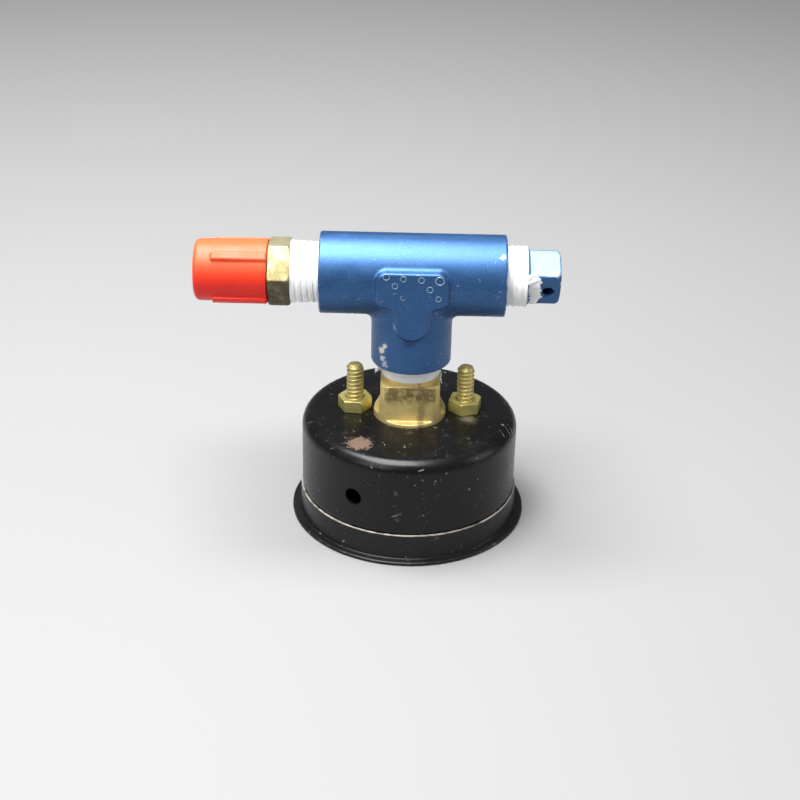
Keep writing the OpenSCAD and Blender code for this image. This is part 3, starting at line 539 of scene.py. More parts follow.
def grown(name, tree_name, mesh=None, **inputs):
    """Runs a geometry tree on a mesh and returns the result as a plain mesh object."""
    tree = bpy.data.node_groups[tree_name]
    holder = bpy.data.objects.new(name + "_source", mesh or bpy.data.meshes.new(name + "_source"))
    bpy.context.collection.objects.link(holder)
    modifier = holder.modifiers.new("Shape", "NODES")
    modifier.node_group = tree
    sockets = {item.name: item.identifier for item in tree.interface.items_tree if item.in_out == "INPUT"}
    for key, value in inputs.items():
        modifier[sockets[key.replace("_", " ")]] = value
    evaluated = holder.evaluated_get(bpy.context.evaluated_depsgraph_get())
    plain = bpy.data.meshes.new_from_object(evaluated)
    bpy.data.objects.remove(holder)
    plain.name = name
    piece = bpy.data.objects.new(name, plain)
    bpy.context.collection.objects.link(piece)
    return piece


# ---------------------------------------------------------------- mesh helpers

def solid(name, points, faces, material, smooth_angle=None):
    """Mesh object from points in millimetres."""
    mesh = bpy.data.meshes.new(name)
    mesh.from_pydata([tuple(MM * float(v) for v in p) for p in points], [], faces)
    mesh.materials.append(material)
    mesh.polygons.foreach_set("use_smooth", [True] * len(mesh.polygons))
    if smooth_angle is not None:
        mesh.set_sharp_from_angle(angle=math.radians(smooth_angle))
    piece = bpy.data.objects.new(name, mesh)
    bpy.context.collection.objects.link(piece)
    return piece


def lathe(name, profile, material, segments=256, smooth_angle=35):
    """Closed ring: a closed outline of (radius, height) turned about Z, listed with the solid on its left."""
    count = len(profile)
    turns = np.arange(segments) * math.tau / segments
    points = [(r * math.cos(a), r * math.sin(a), z) for a in turns for r, z in profile]
    faces = []
    for i in range(segments):
        here, after = i * count, (i + 1) % segments * count
        faces += [(here + j, after + j, after + (j + 1) % count,
                   here + (j + 1) % count) for j in range(count)]
    return solid(name, points, faces, material, smooth_angle)


def arc(centre, radius, start, end, steps):
    """Points on an arc in the profile plane, angles in degrees."""
    return [(centre[0] + radius * math.cos(math.radians(a)), centre[1] + radius * math.sin(math.radians(a)))
            for a in np.linspace(start, end, steps)]


DRILL_SIDES = 48


def cut_holes(piece, holes):
    """Cuts round holes, each given as (centre, direction, radius, length) in millimetres."""
    for centre, direction, radius, reach in holes:
        turns = np.arange(DRILL_SIDES) * math.tau / DRILL_SIDES
        side = Vector(direction).orthogonal().normalized()
        up = Vector(direction).cross(side)
        rims = []
        for end in (-0.5, 0.5):
            hub = Vector(centre) + float(reach) * end * Vector(direction)
            rims += [hub + float(radius) * (math.cos(a) * side + math.sin(a) * up) for a in turns]
        after = [(i + 1) % DRILL_SIDES for i in range(DRILL_SIDES)]
        faces = [(i, j, DRILL_SIDES + j, DRILL_SIDES + i) for i, j in enumerate(after)]
        faces += [tuple(reversed(range(DRILL_SIDES))), tuple(range(DRILL_SIDES, 2 * DRILL_SIDES))]
        drill = solid(piece.name + "_drill", rims, faces, piece.data.materials[0])
        modifier = piece.modifiers.new("Hole", "BOOLEAN")
        modifier.object = drill
        modifier.solver = "EXACT"
        evaluated = piece.evaluated_get(bpy.context.evaluated_depsgraph_get())
        mesh = bpy.data.meshes.new_from_object(evaluated)
        piece.modifiers.clear()
        piece.data = mesh
        bpy.data.objects.remove(drill)
    piece.data.polygons.foreach_set("use_smooth", [True] * len(piece.data.polygons))
    piece.data.set_sharp_from_angle(angle=math.radians(35))


def surface_net(name, field, low, high, step, material):
    """Closed smooth mesh of the surface where a field of points is zero, in millimetres."""
    low, high = np.asarray(low, float), np.asarray(high, float)
    size = np.ceil((high - low) / step).astype(int) + 1
    axes = [low[a] + step * np.arange(size[a]) for a in range(3)]
    value = np.empty(size, np.float32)
    for start in range(0, size[0], 16):
        slab = np.stack(np.meshgrid(axes[0][start:start + 16], axes[1], axes[2], indexing="ij"), -1)
        value[start:start + 16] = field(slab)
    inside = value < 0
    strides = np.array([size[1] * size[2], size[2], 1])
    crossings, owners, quads = [], [], []
    for axis in range(3):
        b, c = (axis + 1) % 3, (axis + 2) % 3
        lower = [slice(None)] * 3
        upper = [slice(None)] * 3
        lower[axis], upper[axis] = slice(0, -1), slice(1, None)
        at = np.argwhere(inside[tuple(lower)] != inside[tuple(upper)])
        after = at.copy()
        after[:, axis] += 1
        first, second = value[tuple(at.T)], value[tuple(after.T)]
        cross = at.astype(float)
        cross[:, axis] += first / (first - second)
        around = []
        for over_b, over_c in ((1, 1), (0, 1), (0, 0), (1, 0)):
            cell = at.copy()
            cell[:, b] -= over_b
            cell[:, c] -= over_c
            around.append(cell @ strides)
        around = np.stack(around, 1)
        around[first > 0] = around[first > 0][:, ::-1]
        quads.append(around)
        crossings.append(np.repeat(cross, 4, axis=0))
        owners.append(around.reshape(-1))
    quads, crossings, owners = map(np.concatenate, (quads, crossings, owners))
    _, index = np.unique(owners, return_inverse=True)
    total = np.bincount(index)
    points = np.stack([np.bincount(index, crossings[:, a]) / total for a in range(3)], 1) * step + low
    for _ in range(3):
        slope = gradient(field, points, step * 0.25)
        scale = np.maximum((slope ** 2).sum(1), 0.25)
        move = np.clip(field(points) / scale, -step / 2, step / 2)
        points -= move[:, None] * slope
    normals = gradient(field, points, step * 0.25)
    normals /= np.maximum(np.linalg.norm(normals, axis=1), 1e-9)[:, None]
    reach = 2.2 * step
    bend = -6 * field(points)
    for axis in range(3):
        shift = np.zeros(3)
        shift[axis] = reach
        bend = bend + field(points + shift) + field(points - shift)
    mesh = bpy.data.meshes.new(name)
    mesh.from_pydata(points * MM, [], index.reshape(-1, 4)[np.arange(len(quads))].tolist())
    mesh.materials.append(material)
    mesh.polygons.foreach_set("use_smooth", [True] * len(mesh.polygons))
    edge = mesh.attributes.new("edge", "FLOAT", "POINT")
    edge.data.foreach_set("value", np.clip(bend / reach * 0.6, -1, 1).astype(np.float32))
    mesh.normals_split_custom_set_from_vertices(normals)
    piece = bpy.data.objects.new(name, mesh)
    bpy.context.collection.objects.link(piece)
    return piece


def gradient(field, points, reach):
    """Slope of a field at points, by central differences."""
    slope = np.empty_like(points)
    for axis in range(3):
        shift = np.zeros(3)
        shift[axis] = reach
        slope[:, axis] = (field(points + shift) - field(points - shift)) / (2 * reach)
    return slope


# ---------------------------------------------------------------- distance fields, in millimetres

def both(first, second, radius):
    """Where both hold, with the edge between them rounded."""
    corner = np.hypot(np.maximum(first + radius, 0), np.maximum(second + radius, 0))
    return np.minimum(np.maximum(first, second), -radius) + corner


def joined(first, second, radius):
    """Where either holds, with the inner corner filled."""
    share = np.clip(0.5 + 0.5 * (second - first) / radius, 0, 1)
    return second + (first - second) * share - radius * share * (1 - share)


def cut_away(first, second, radius):
    """The first without the second, with the new edge rounded."""
    return both(first, -second, radius)


def rod(radial, along, radius, low, high, edge):
    """A round bar along an axis."""
    return both(radial - radius, np.maximum(low - along, along - high), edge)


def rounded_box(u, v, half_u, half_v, radius):
    """Distance to a rectangle with round corners."""
    du, dv = np.abs(u) - half_u + radius, np.abs(v) - half_v + radius
    return np.hypot(np.maximum(du, 0), np.maximum(dv, 0)) + np.minimum(np.maximum(du, dv), 0) - radius


def prism(u, v, across, sides, turn):
    """Distance to a regular polygon of a given size across flats; turn in degrees to a corner."""
    first = math.radians(turn) + math.pi / sides
    distance = None
    for i in range(sides):
        angle = first + i * math.tau / sides
        face = u * math.cos(angle) + v * math.sin(angle) - across / 2
        distance = face if distance is None else both(distance, face, 0.12)
    return distance


def screw(radial, angle, along, radius, pitch, depth):
    """Distance to a screw thread with rounded crests."""
    phase = np.abs(2 * np.mod(along / pitch - angle / math.tau, 1.0) - 1)
    groove = np.clip((phase - 0.2) / 0.65, 0, 1)
    return (radial - radius + depth * groove * groove * (3 - 2 * groove)) * 0.75


def pipe_radius(settings, out):
    """Radius of the pipe thread at a distance outwards from the face of the tee."""
    return settings.pipe_r + out / 32


def ride_and_replace(piece, body, nodes):
    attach(piece, body)
    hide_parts(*nodes)


# ---------------------------------------------------------------- finishes

def case_enamel(settings):
    """Satin black enamel with dust, pale streaks, a scuff, a rusty chip on the back and a painted reflection
    of the right nut on the back.
    """
    s = Shader("case_enamel", Specular_IOR_Level=0.25)
    cloud = s.group("Grain", 1, Cloud_Scale=90.0)
    dust = s.group("Specks", Scale=1500.0, Size=0.13, Amount=0.45)
    flecks = s.group("Specks", Scale=420.0, Size=0.085, Amount=0.9)
    lines = s.group("Scratches", Scale=0.8, Amount=0.7)
    dirt = s.times(s.smooth(s.axis("Z"), CASE_TOP - 0.6, CASE_TOP - 0.1),
                   s.smooth(s.noise(s.place, 320.0, 6.0, 0.75), 0.56, 0.78))
    smudge = s.most(s.near((-2.9, -CASE_R, 18.4), 0.9, 0.7), s.near((-2.4, -CASE_R, 11.2), 0.8, 0.6))
    smudge = s.times(s.most(smudge, s.near((-3.0, -CASE_R, 15.0), 0.6, 0.6)), 0.14)
    # painted reflection: an olive patch in front of the right nut stands in for the nut mirrored in the
    # enamel
    right = s.near((NUTS_HIGH[0] - 3.2, NUTS_LOW[1] - 1.2, CASE_TOP), 2.6, 2.4)
    chip = s.near((-11.6, -16.7, CASE_TOP), 2.9, 0.3)
    base = s.mix(s.smooth(cloud, 0.3, 0.75, 0.0, 0.6), settings.enamel, (0.0085, 0.0085, 0.009))
    base = s.mix(s.times(dirt, 0.2), base, (0.30, 0.27, 0.21))
    # mixes in the painted reflection of the right nut
    base = s.mix(s.times(right, 0.35), base, (0.48, 0.42, 0.24))
    base = s.mix(smudge, base, (0.30, 0.30, 0.30))
    base = s.mix(chip, base, settings.chip)
    pale = s.most(dust, s.most(flecks, s.times(lines, 0.5)))
    base = s.mix(pale, base, (0.55, 0.53, 0.49))
    rough = s.plus(s.smooth(cloud, 0.2, 0.8, 0.23, 0.33), s.times(s.most(chip, pale), 0.35))
    height = s.plus(s.times(s.group("Grain", 0, Scale=1300.0), 0.25), s.times(chip, -0.8))
    return s.finish(base, rough, height, 0.00004)


def bezel_enamel(settings):
    """The same enamel on the bezel, a little glossier and rubbed on its rim."""
    s = Shader("bezel_enamel", Specular_IOR_Level=0.28)
    cloud = s.group("Grain", 1, Cloud_Scale=120.0)
    dust = s.group("Specks", Scale=1300.0, Size=0.13, Amount=0.5)
    lines = s.group("Scratches", Scale=1.1, Amount=0.8)
    radius = s.times(s.vector("LENGTH", s.vector("MULTIPLY", s.place, (1.0, 1.0, 0.0))), 1 / MM)
    rim = s.times(s.smooth(s.noise(s.place, 700.0, 4.0, 0.7), 0.58, 0.75),
                  s.smooth(radius, BEZEL_HIGH[0] - 0.5, BEZEL_HIGH[0] - 0.1))
    base = s.mix(cloud, settings.enamel, (0.010, 0.010, 0.011))
    base = s.mix(s.most(dust, s.times(lines, 0.45)), base, (0.5, 0.48, 0.45))
    base = s.mix(s.times(rim, 0.6), base, (0.32, 0.30, 0.27))
    seam = s.times(s.smooth(s.axis("Z"), BEZEL_HIGH[2] - 0.28, BEZEL_HIGH[2] - 0.1), s.smooth(
        s.noise(s.place, 240.0, 4.0, 0.7), 0.36, 0.56, 0.15, 0.85))
    base = s.mix(seam, base, (0.42, 0.38, 0.33))
    rough = s.smooth(cloud, 0.2, 0.8, 0.24, 0.36)
    return s.finish(base, rough, s.group("Grain", 0, Scale=1500.0), 0.00002, 0.5)


def anodise(name, settings, worn_patches=(), painted_shadow_spots=(), painted_top_highlight=0.0):
    """Blasted aluminium with deep blue anodising, pale at its rubbed edges, with an optional painted
    highlight on its upper side and painted shadow spots.
    """
    s = Shader(name, Metallic=0.8, Coat_Roughness=0.4)
    fine = s.group("Grain", 0, Scale=2900.0)
    cloud = s.group("Grain", 1, Cloud_Scale=210.0)
    edge = s.group("Edge Wear", Edge=s.attribute("edge"), Scale=420.0, Amount=0.42)
    lines = s.group("Scratches", Scale=0.8, Amount=0.75)
    dust = s.group("Specks", Scale=1400.0, Size=0.15, Amount=0.55)
    base = s.mix(cloud, tuple(0.62 * v for v in settings.anodise), settings.anodise)
    base = s.mix(s.smooth(fine, 0.78, 1.1, 0.0, 0.2), base, (0.10, 0.24, 0.50))
    base = s.mix(s.most(s.times(edge, 0.65), s.times(lines, 0.45)),
                 base, settings.worn)
    base = s.mix(dust, base, (0.6, 0.62, 0.65))
    for at, radius, tint, share in worn_patches:
        patch = s.times(s.near(at, radius, radius * 0.45), share)
        base = s.mix(patch, base, tint)
    # painted highlight: above a set height the surface is mixed towards pale blue, standing in for the
    # overhead light
    if painted_top_highlight:
        top = s.smooth(s.plus(s.axis("Z"), s.noise(s.place, 900.0, 4.0)), RUN_Z + 2.8, RUN_Z + 3.3, 0.0,
                       painted_top_highlight)
        base = s.mix(top, base, (0.36, 0.60, 0.74))
    # painted shadow: dark blue spots, such as the shadow under the tongue end of the tee
    for at, radius in painted_shadow_spots:
        base = s.mix(s.times(s.near(at, radius, radius * 0.7), 0.5), base, (0.012, 0.03, 0.08))
    rough = s.plus(s.smooth(cloud, 0.25, 0.75, 0.44, 0.54), s.times(dust, 0.3))
    s.plug(s.surface.inputs["Coat Weight"], s.smooth(cloud, 0.2, 0.8, 0.25, 0.45))
    return s.finish(base, rough, fine, 0.00004, 0.35)


def aged_brass(name, colour, stain, pitted=0.0, dull=0.34, scale=1.0, metal=1.0):
    """Machined brass that has gone dull, with tarnish in clouds and small dark pits."""
    s = Shader(name, Metallic=metal)
    cloud = s.group("Grain", 1, Cloud_Scale=230.0 * scale)
    pits = s.group("Specks", Scale=2100.0 * scale, Size=0.2, Amount=0.9)
    lines = s.group("Scratches", Scale=1.0, Amount=0.8)
    tarnish = tuple(0.55 * clean + 0.45 * dark for clean, dark in zip(colour, stain))
    base = s.mix(s.smooth(cloud, 0.42, 0.72, 0.0, 0.75), colour, tarnish)
    base = s.mix(s.times(pits, 0.8), base, stain)
    height = s.times(s.group("Grain", 0, Scale=2300.0), 0.3)
    height = s.minus(height, s.times(pits, 0.6))
    rough = s.smooth(cloud, 0.3, 0.75, dull - 0.06, dull + 0.16)
    if pitted:
        front = s.smooth(s.axis("Y"), -6.1, -6.5)
        upper = s.times(s.smooth(s.axis("Z"), 30.6, 33.2), s.smooth(s.axis("Z"), 36.3, 35.6))
        blotch = s.smooth(s.noise(s.place, 620.0, 6.0, 0.72), 0.36, 0.54, 0.3, 1.0)
        rust = s.times(s.times(front, upper), blotch)
        wander = s.plus(s.axis("X"), s.times(s.noise(s.place, 420.0, 3.0), 1.6))
        run = s.times(front, s.smooth(s.math("ABSOLUTE", s.minus(wander, 3.6)), 1.2, 0.4))
        mask = s.most(s.times(rust, pitted), s.times(run, 0.5))
        base = s.mix(mask, base, stain)
        height = s.minus(height, s.times(mask, 0.9))
        rough = s.plus(rough, s.times(mask, 0.3))
    base = s.mix(s.times(lines, 0.6), base, (0.93, 0.90, 0.80))
    return s.finish(base, rough, height, 0.00005)


def plated(settings):
    """Pale yellow plating with milky clouds and tool marks, darker on its far upper facets, and painted shade
    on its lower side.
    """
    s = Shader("yellow_plate", Metallic=0.55)
    cloud = s.group("Grain", 1, Cloud_Scale=300.0)
    lines = s.group("Scratches", Scale=1.2, Amount=0.9)
    pits = s.group("Specks", Scale=1900.0, Size=0.18, Amount=0.7)
    base = s.mix(s.smooth(cloud, 0.35, 0.7), settings.plating, (0.50, 0.47, 0.34))
    blotch = s.smooth(s.noise(s.place, 520.0, 5.0, 0.7), 0.3, 0.6, 0.75, 1.0)
    # painted shade: below the run axis the hexagon is mixed to near black
    under = s.times(s.smooth(s.axis("Z"), RUN_Z + 1.5, RUN_Z + 0.6), blotch)
    # darker on the back and upper facets, beyond y -2.9
    above = s.times(s.smooth(s.axis("Y"), -3.6, -2.9), 0.6)
    base = s.mix(above, base, (0.30, 0.28, 0.19))
    base = s.mix(under, base, (0.062, 0.051, 0.028))
    base = s.mix(pits, base, (0.30, 0.22, 0.10))
    base = s.mix(s.times(lines, 0.6), base, (0.95, 0.93, 0.88))
    return s.finish(base, s.smooth(cloud, 0.3, 0.7, 0.26, 0.42), s.group("Grain", 0, Scale=2000.0), 0.00003,
                    0.5)


def tape_film(settings):
    """White film wound in layers, slightly see-through and dirty in its folds."""
    s = Shader("thread_tape", Subsurface_Weight=0.25, Subsurface_Scale=0.0006,
               Subsurface_Radius=(1.0, 1.0, 1.0))
    cloud = s.group("Grain", 1, Cloud_Scale=520.0)
    folds = s.noise(s.place, 1700.0, 5.0, 0.7)
    base = s.mix(s.smooth(cloud, 0.5, 0.8, 0.0, 0.4), settings.tape, (0.74, 0.73, 0.69))
    dust = s.group("Specks", Scale=1700.0, Size=0.10, Amount=0.5)
    base = s.mix(dust, base, (0.22, 0.19, 0.15))
    return s.finish(base, s.smooth(cloud, 0.3, 0.7, 0.38, 0.6), folds, 0.00014, 0.8)


def cap_plastic(settings):
    """Soft orange-red plastic with a fine skin, rubbed ribs and a painted sheen on its upper side."""
    s = Shader("red_plastic", Specular_IOR_Level=0.3, Subsurface_Weight=0.12, Subsurface_Scale=0.001,
               Subsurface_Radius=(1.0, 0.25, 0.12))
    cloud = s.group("Grain", 1, Cloud_Scale=160.0)
    edge = s.group("Edge Wear", Edge=s.attribute("edge"), Scale=420.0, Amount=0.35)
    dust = s.group("Specks", Scale=1500.0, Size=0.15, Amount=0.5)
    base = s.mix(cloud, tuple(0.78 * v for v in settings.cap), settings.cap)
    # painted sheen: the upper side is mixed towards pale orange, standing in for the reflection of the sky
    painted_top_sheen = s.smooth(s.axis("Z"), RUN_Z - 1.5, RUN_Z + 6.5, 0.0, 0.5)
    base = s.mix(painted_top_sheen, base, (0.90, 0.20, 0.065))
    base = s.mix(s.times(edge, 0.3), base, (0.80, 0.18, 0.08))
    base = s.mix(dust, base, (0.55, 0.35, 0.28))
    return s.finish(base, s.smooth(cloud, 0.3, 0.7, 0.36, 0.48), s.group("Grain", 0, Scale=1700.0), 0.00004,
                    0.6)


def plain_paint(name, colour, rough=0.4, metal=0.0, scale=1500.0):
    """Painted, rubber or bare sheet surface with a fine grain and slow changes of tone."""
    s = Shader(name, Metallic=metal)
    cloud = s.group("Grain", 1, Cloud_Scale=200.0)
    lines = s.group("Scratches", Scale=1.4, Amount=0.5)
    base = s.mix(cloud, tuple(0.8 * v for v in colour), colour)
    base = s.mix(s.times(lines, 0.3), base, tuple(min(1.0, 1.6 * v + 0.02) for v in colour))
    return s.finish(base, s.smooth(cloud, 0.3, 0.7, rough - 0.06, rough + 0.08),
                    s.group("Grain", 0, Scale=scale), 0.00002, 0.5)


def window_glass():
    """Clear lens with faint scratches."""
    s = Shader("lens_glass", Transmission_Weight=0.96, IOR=1.47)
    lines = s.group("Scratches", Scale=1.0, Amount=0.7)
    return s.finish((0.97, 0.985, 0.98), s.plus(0.02, s.times(lines, 0.3)))


# ---------------------------------------------------------------- operators

class GAUGE_OT_stage(bpy.types.Operator):
    """Adds the camera, the floor and the lights"""
    bl_idname = "gauge.stage"
    bl_label = "Stage"

    def execute(self, context):
        scene = context.scene
        settings = scene.gauge_stage
        camera = bpy.data.objects.new("camera", bpy.data.cameras.new("camera"))
        scene.collection.objects.link(camera)
        camera.data.lens = settings.lens
        camera.data.clip_start = 0.01
        camera.location = (0.00003, -0.34144, 0.21405)
        camera.rotation_euler = (math.radians(61.56), 0.0, math.radians(0.41))
        camera.rotation_euler.rotate_axis("Z", math.radians(settings.roll))
        scene.camera = camera
        scene.view_settings.view_transform = "Standard"
        s = Shader("floor_paint")
        base = s.mix(s.noise(s.place, 6.0, 3.0), tuple(0.97 * v for v in settings.floor),
                     tuple(settings.floor))
        material = s.finish(base, 0.62)
        wide = 3000.0
        floor = solid("floor", [(-wide, -wide, 0), (wide, -wide, 0), (wide, wide, 0), (-wide, wide, 0)],
                      [(0, 1, 2, 3)], material)
        world = bpy.data.worlds.new("studio")
        world.use_nodes = True
        world.node_tree.nodes["Background"].inputs["Color"].default_value = (0.9, 0.94, 1.0, 1.0)
        world.node_tree.nodes["Background"].inputs["Strength"].default_value = 0.17
        scene.world = world
        for name, at, aim, size, watts in (
                ("overhead", (-0.12, -0.02, 0.60), (0.0, 0.0, 0.04), (0.56, 0.36), 12.0),
                ("front", (-0.45, -0.6, 0.55), (0.0, 0.0, 0.04), (0.5, 0.5), 2.2),
                ("side", (0.75, -0.1, 0.35), (0.0, 0.0, 0.04), (0.3, 0.5), 1.2)):
            light = bpy.data.objects.new(name, bpy.data.lights.new(name, "AREA"))
            light.data.shape = "RECTANGLE"
            light.data.size, light.data.size_y = size
            light.data.energy = watts
            light.location = at
            light.rotation_euler = (Vector(at) - Vector(aim)).to_track_quat("Z", "Y").to_euler()
            scene.collection.objects.link(light)
        return {"FINISHED"}


class GAUGE_OT_case(bpy.types.Operator):
    """Makes the drawn sheet-metal case"""
    bl_idname = "gauge.case"
    bl_label = "Case"

    def execute(self, context):
        scene = context.scene
        settings = scene.gauge_case
        radius, top, corner, wall = CASE_R, CASE_TOP, settings.corner, settings.wall
        neck = radius - settings.neck_step
        foot = CASE_LOW[2]
        neck_top = BEZEL_HIGH[2] + settings.neck_gap
        hole = scene.gauge_stem.collar_r + settings.hole_play
        ease = settings.neck_step
        profile = [(neck - wall, foot + 0.15), (neck - wall + 0.15, foot), (neck - 0.15, foot),
                   (neck, foot + 0.15)]
        profile += [(neck, neck_top - ease), (radius - 0.07, neck_top), (radius, neck_top + ease)]
        profile += [(radius, z) for z in np.linspace(neck_top + 1.0, top - corner - 1.0, 12)]
        profile += arc((radius - corner, top - corner), corner, 0, 90, 14)
        profile += [(r, top) for r in np.linspace(radius - corner - 1.0, hole + 1.0, 8)]
        profile += [(hole + 0.25, top), (hole, top - 0.2), (hole, top - wall)]
        profile += [(radius - corner, top - wall)]
        profile += arc((radius - corner, top - corner), corner - wall, 84, 6, 7)
        profile += [(radius - wall, top - corner), (radius - wall, neck_top + wall), (neck - wall, neck_top)]
        case = lathe("case_shell", profile, case_enamel(settings))
        turn = settings.vent_turn
        out = (math.cos(turn), math.sin(turn), 0.0)
        vent = (out[0] * radius, out[1] * radius, settings.vent_z)
        holes = [(vent, out, settings.vent_d / 2, 6.0)]
        for x in (STUDS_LOW[0], STUDS_HIGH[0]):
            middle = (STUDS_LOW[1] + STUDS_HIGH[1]) / 2
            stud_r = (STUDS_HIGH[1] - STUDS_LOW[1]) / 2
            holes.append(((x - math.copysign(stud_r, x), middle, top), (0, 0, 1),
                          stud_r + settings.hole_play, 3.0))
        cut_holes(case, holes)
        ride_and_replace(case, body_of_node("case"), ["case"])
        return {"FINISHED"}


class GAUGE_OT_bezel(bpy.types.Operator):
    """Makes the bezel ring and the rubber ring under the lens"""
    bl_idname = "gauge.bezel"
    bl_label = "Bezel"

    def execute(self, context):
        scene = context.scene
        settings = scene.gauge_bezel
        brim, top, thick = BEZEL_HIGH[0], BEZEL_HIGH[2], settings.brim_t
        inner = CASE_R - scene.gauge_case.neck_step + 0.05
        outer = inner + settings.wall
        opening = GASKET_HIGH[0] - settings.lip
        edge = thick / 2
        profile = [(opening + 0.12, 0), (opening + 0.7, 0)]
        profile += [(r, 0) for r in np.linspace(opening + 1.2, brim - 1.2, 4)]
        profile += arc((brim - edge, edge), edge, -90, 90, 13)
        flare = outer + settings.flare
        profile += [(flare + 0.55, thick)] + arc((flare + 0.3, thick + 0.3), 0.3, 250, 190, 4)
        profile += [(outer + settings.flare * 0.35, thick + 2.2), (outer, thick + 3.6), (outer, top - 0.3)]
        profile += arc((outer - 0.3, top - 0.3), 0.3, 15, 165, 7)
        profile += [(inner, top - 0.3), (inner, thick), (opening, thick), (opening, 0.12)]
        bezel = lathe("bezel_ring", profile, bezel_enamel(settings))
        ride_and_replace(bezel, body_of_node("bezel"), ["bezel"])
        low, high = GASKET_LOW[2], GASKET_HIGH[2]
        middle = (low + high) / 2
        inside, outside = opening + 0.6, GASKET_HIGH[0]
        ring = [(inside, low + 0.1), (inside + 0.1, low), (outside - 0.1, low), (outside, low + 0.1),
                (outside, high - 0.1), (outside - 0.1, high), (inside + 0.1, high), (inside - 0.05, middle)]
        rubber = plain_paint("gasket_rubber", (0.018, 0.018, 0.019), 0.62)
        gasket = lathe("lens_seal", ring, rubber, 160)
        ride_and_replace(gasket, body_of_node("lens_gasket"), ["lens_gasket"])
        return {"FINISHED"}


class GAUGE_OT_tee(bpy.types.Operator):
    """Makes the forged tee and the punch marks on its pad"""
    bl_idname = "gauge.tee"
    bl_label = "Tee"

    def execute(self, context):
        scene = context.scene
        settings = scene.gauge_tee
        line = scene.gauge_line
        half, pad_half = RUN_HALF, settings.pad_width / 2
        pad_low, pad_high, pad_corner, pad_edge, pad_draft = -4.3, 4.4, 2.6, 0.55, 0.12
        port, gap, seam_from = 11.0, 0.1, 2.0

        def body(p):
            x, y, z = p[..., 0], p[..., 1], p[..., 2] - RUN_Z
            across, round_z = np.hypot(y, z), np.hypot(x, y)
            run = both(across - RUN_R, np.abs(x) - half, settings.end_round)
            branch = both(round_z - RUN_R, np.maximum(BRANCH_Z - RUN_Z - z, z), settings.end_round)
            shape = joined(run, branch, settings.junction)
            upper = rounded_box(x, z - (pad_low + pad_high) / 2, pad_half, (pad_high - pad_low) / 2,
                                pad_corner)
            tongue = rounded_box(x, z + settings.tongue_end / 2, settings.tongue / 2, settings.tongue_end / 2,
                                 settings.tongue / 2)
            outline = joined(upper, tongue, 3.4) + pad_draft * (np.abs(y) - PAD_Y + 0.5)
            pad = both(outline, np.abs(y) - PAD_Y, pad_edge)
            shape = joined(shape, pad, 0.6)
            seam = np.where(z > seam_from, np.exp(-(y / 0.35) ** 2), 0.0) * 0.05
            shape = shape - seam * np.clip((half - 0.6 - np.abs(x)) / 0.8, 0, 1)
            for out, radial in ((half - np.abs(x), across), (z - BRANCH_Z + RUN_Z, round_z)):
                taper = pipe_radius(line, -out) + gap + 0.7 * np.clip(0.7 - out, 0, 0.7)
                shape = np.maximum(shape, np.minimum(taper - radial, port - out))
            inner = np.minimum(across, np.maximum(round_z, z)) - settings.bore
            return np.maximum(shape, -inner)

        low = (-half - 0.8, -PAD_Y - 0.8, BRANCH_Z - 0.8)
        high = (half + 0.8, PAD_Y + 0.8, TEE_HIGH[2] + 0.8)
        patches = [((-6.2, -7.3, BRANCH_Z + 6.4), 1.0, (0.74, 0.74, 0.70), 0.9),
                   ((-7.0, -6.6, BRANCH_Z + 4.9), 1.1, (0.78, 0.76, 0.68), 0.95),
                   ((-6.7, -6.8, BRANCH_Z + 3.2), 1.0, (0.66, 0.68, 0.66), 0.8),
                   ((-6.0, -7.2, BRANCH_Z + 1.6), 1.1, (0.52, 0.58, 0.62), 0.75),
                   ((-4.2, -9.2, RUN_Z - 9.5), 0.9, (0.50, 0.60, 0.75), 0.5),
                   ((half - 1.0, -6.0, RUN_Z + 7.0), 0.9, (0.45, 0.55, 0.75), 0.6)]
        # the last list places a painted shadow under the tongue end
        finish = anodise("blue_anodise", settings, patches, [((-0.5, -9.6, RUN_Z - 13.3), 1.6)])
        tee = surface_net("tee_body", body, low, high, settings.step, finish)
        ride_and_replace(tee, body_of_node("pipe_tee"), ["pipe_tee"])
        marks = [(-6.0, 3.6, 1.0), (-2.1, 3.2, 0.9), (2.0, 3.0, 0.95), (6.2, 2.9, 1.35),
                 (-4.0, 1.4, 0.9), (4.0, 0.7, 0.95), (-2.1, -1.5, 0.8), (6.0, -1.6, 0.85)]
        dots = bpy.data.meshes.new("punch_points")
        dots.from_pydata([(x, -PAD_Y + 0.03, RUN_Z + z) for x, z, _ in marks], [], [])
        size = dots.attributes.new("size", "FLOAT", "POINT")
        size.data.foreach_set("value", [mark[2] for mark in marks])
        rim = plain_paint("worn_rim", (0.36, 0.47, 0.58), 0.42, 0.5)
        ring = grown("pad_marks", "Punch Marks", dots, Ring_Radius=0.72, Rim=0.09, Material=rim)
        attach(ring, body_of_node("pipe_tee"))
        return {"FINISHED"}


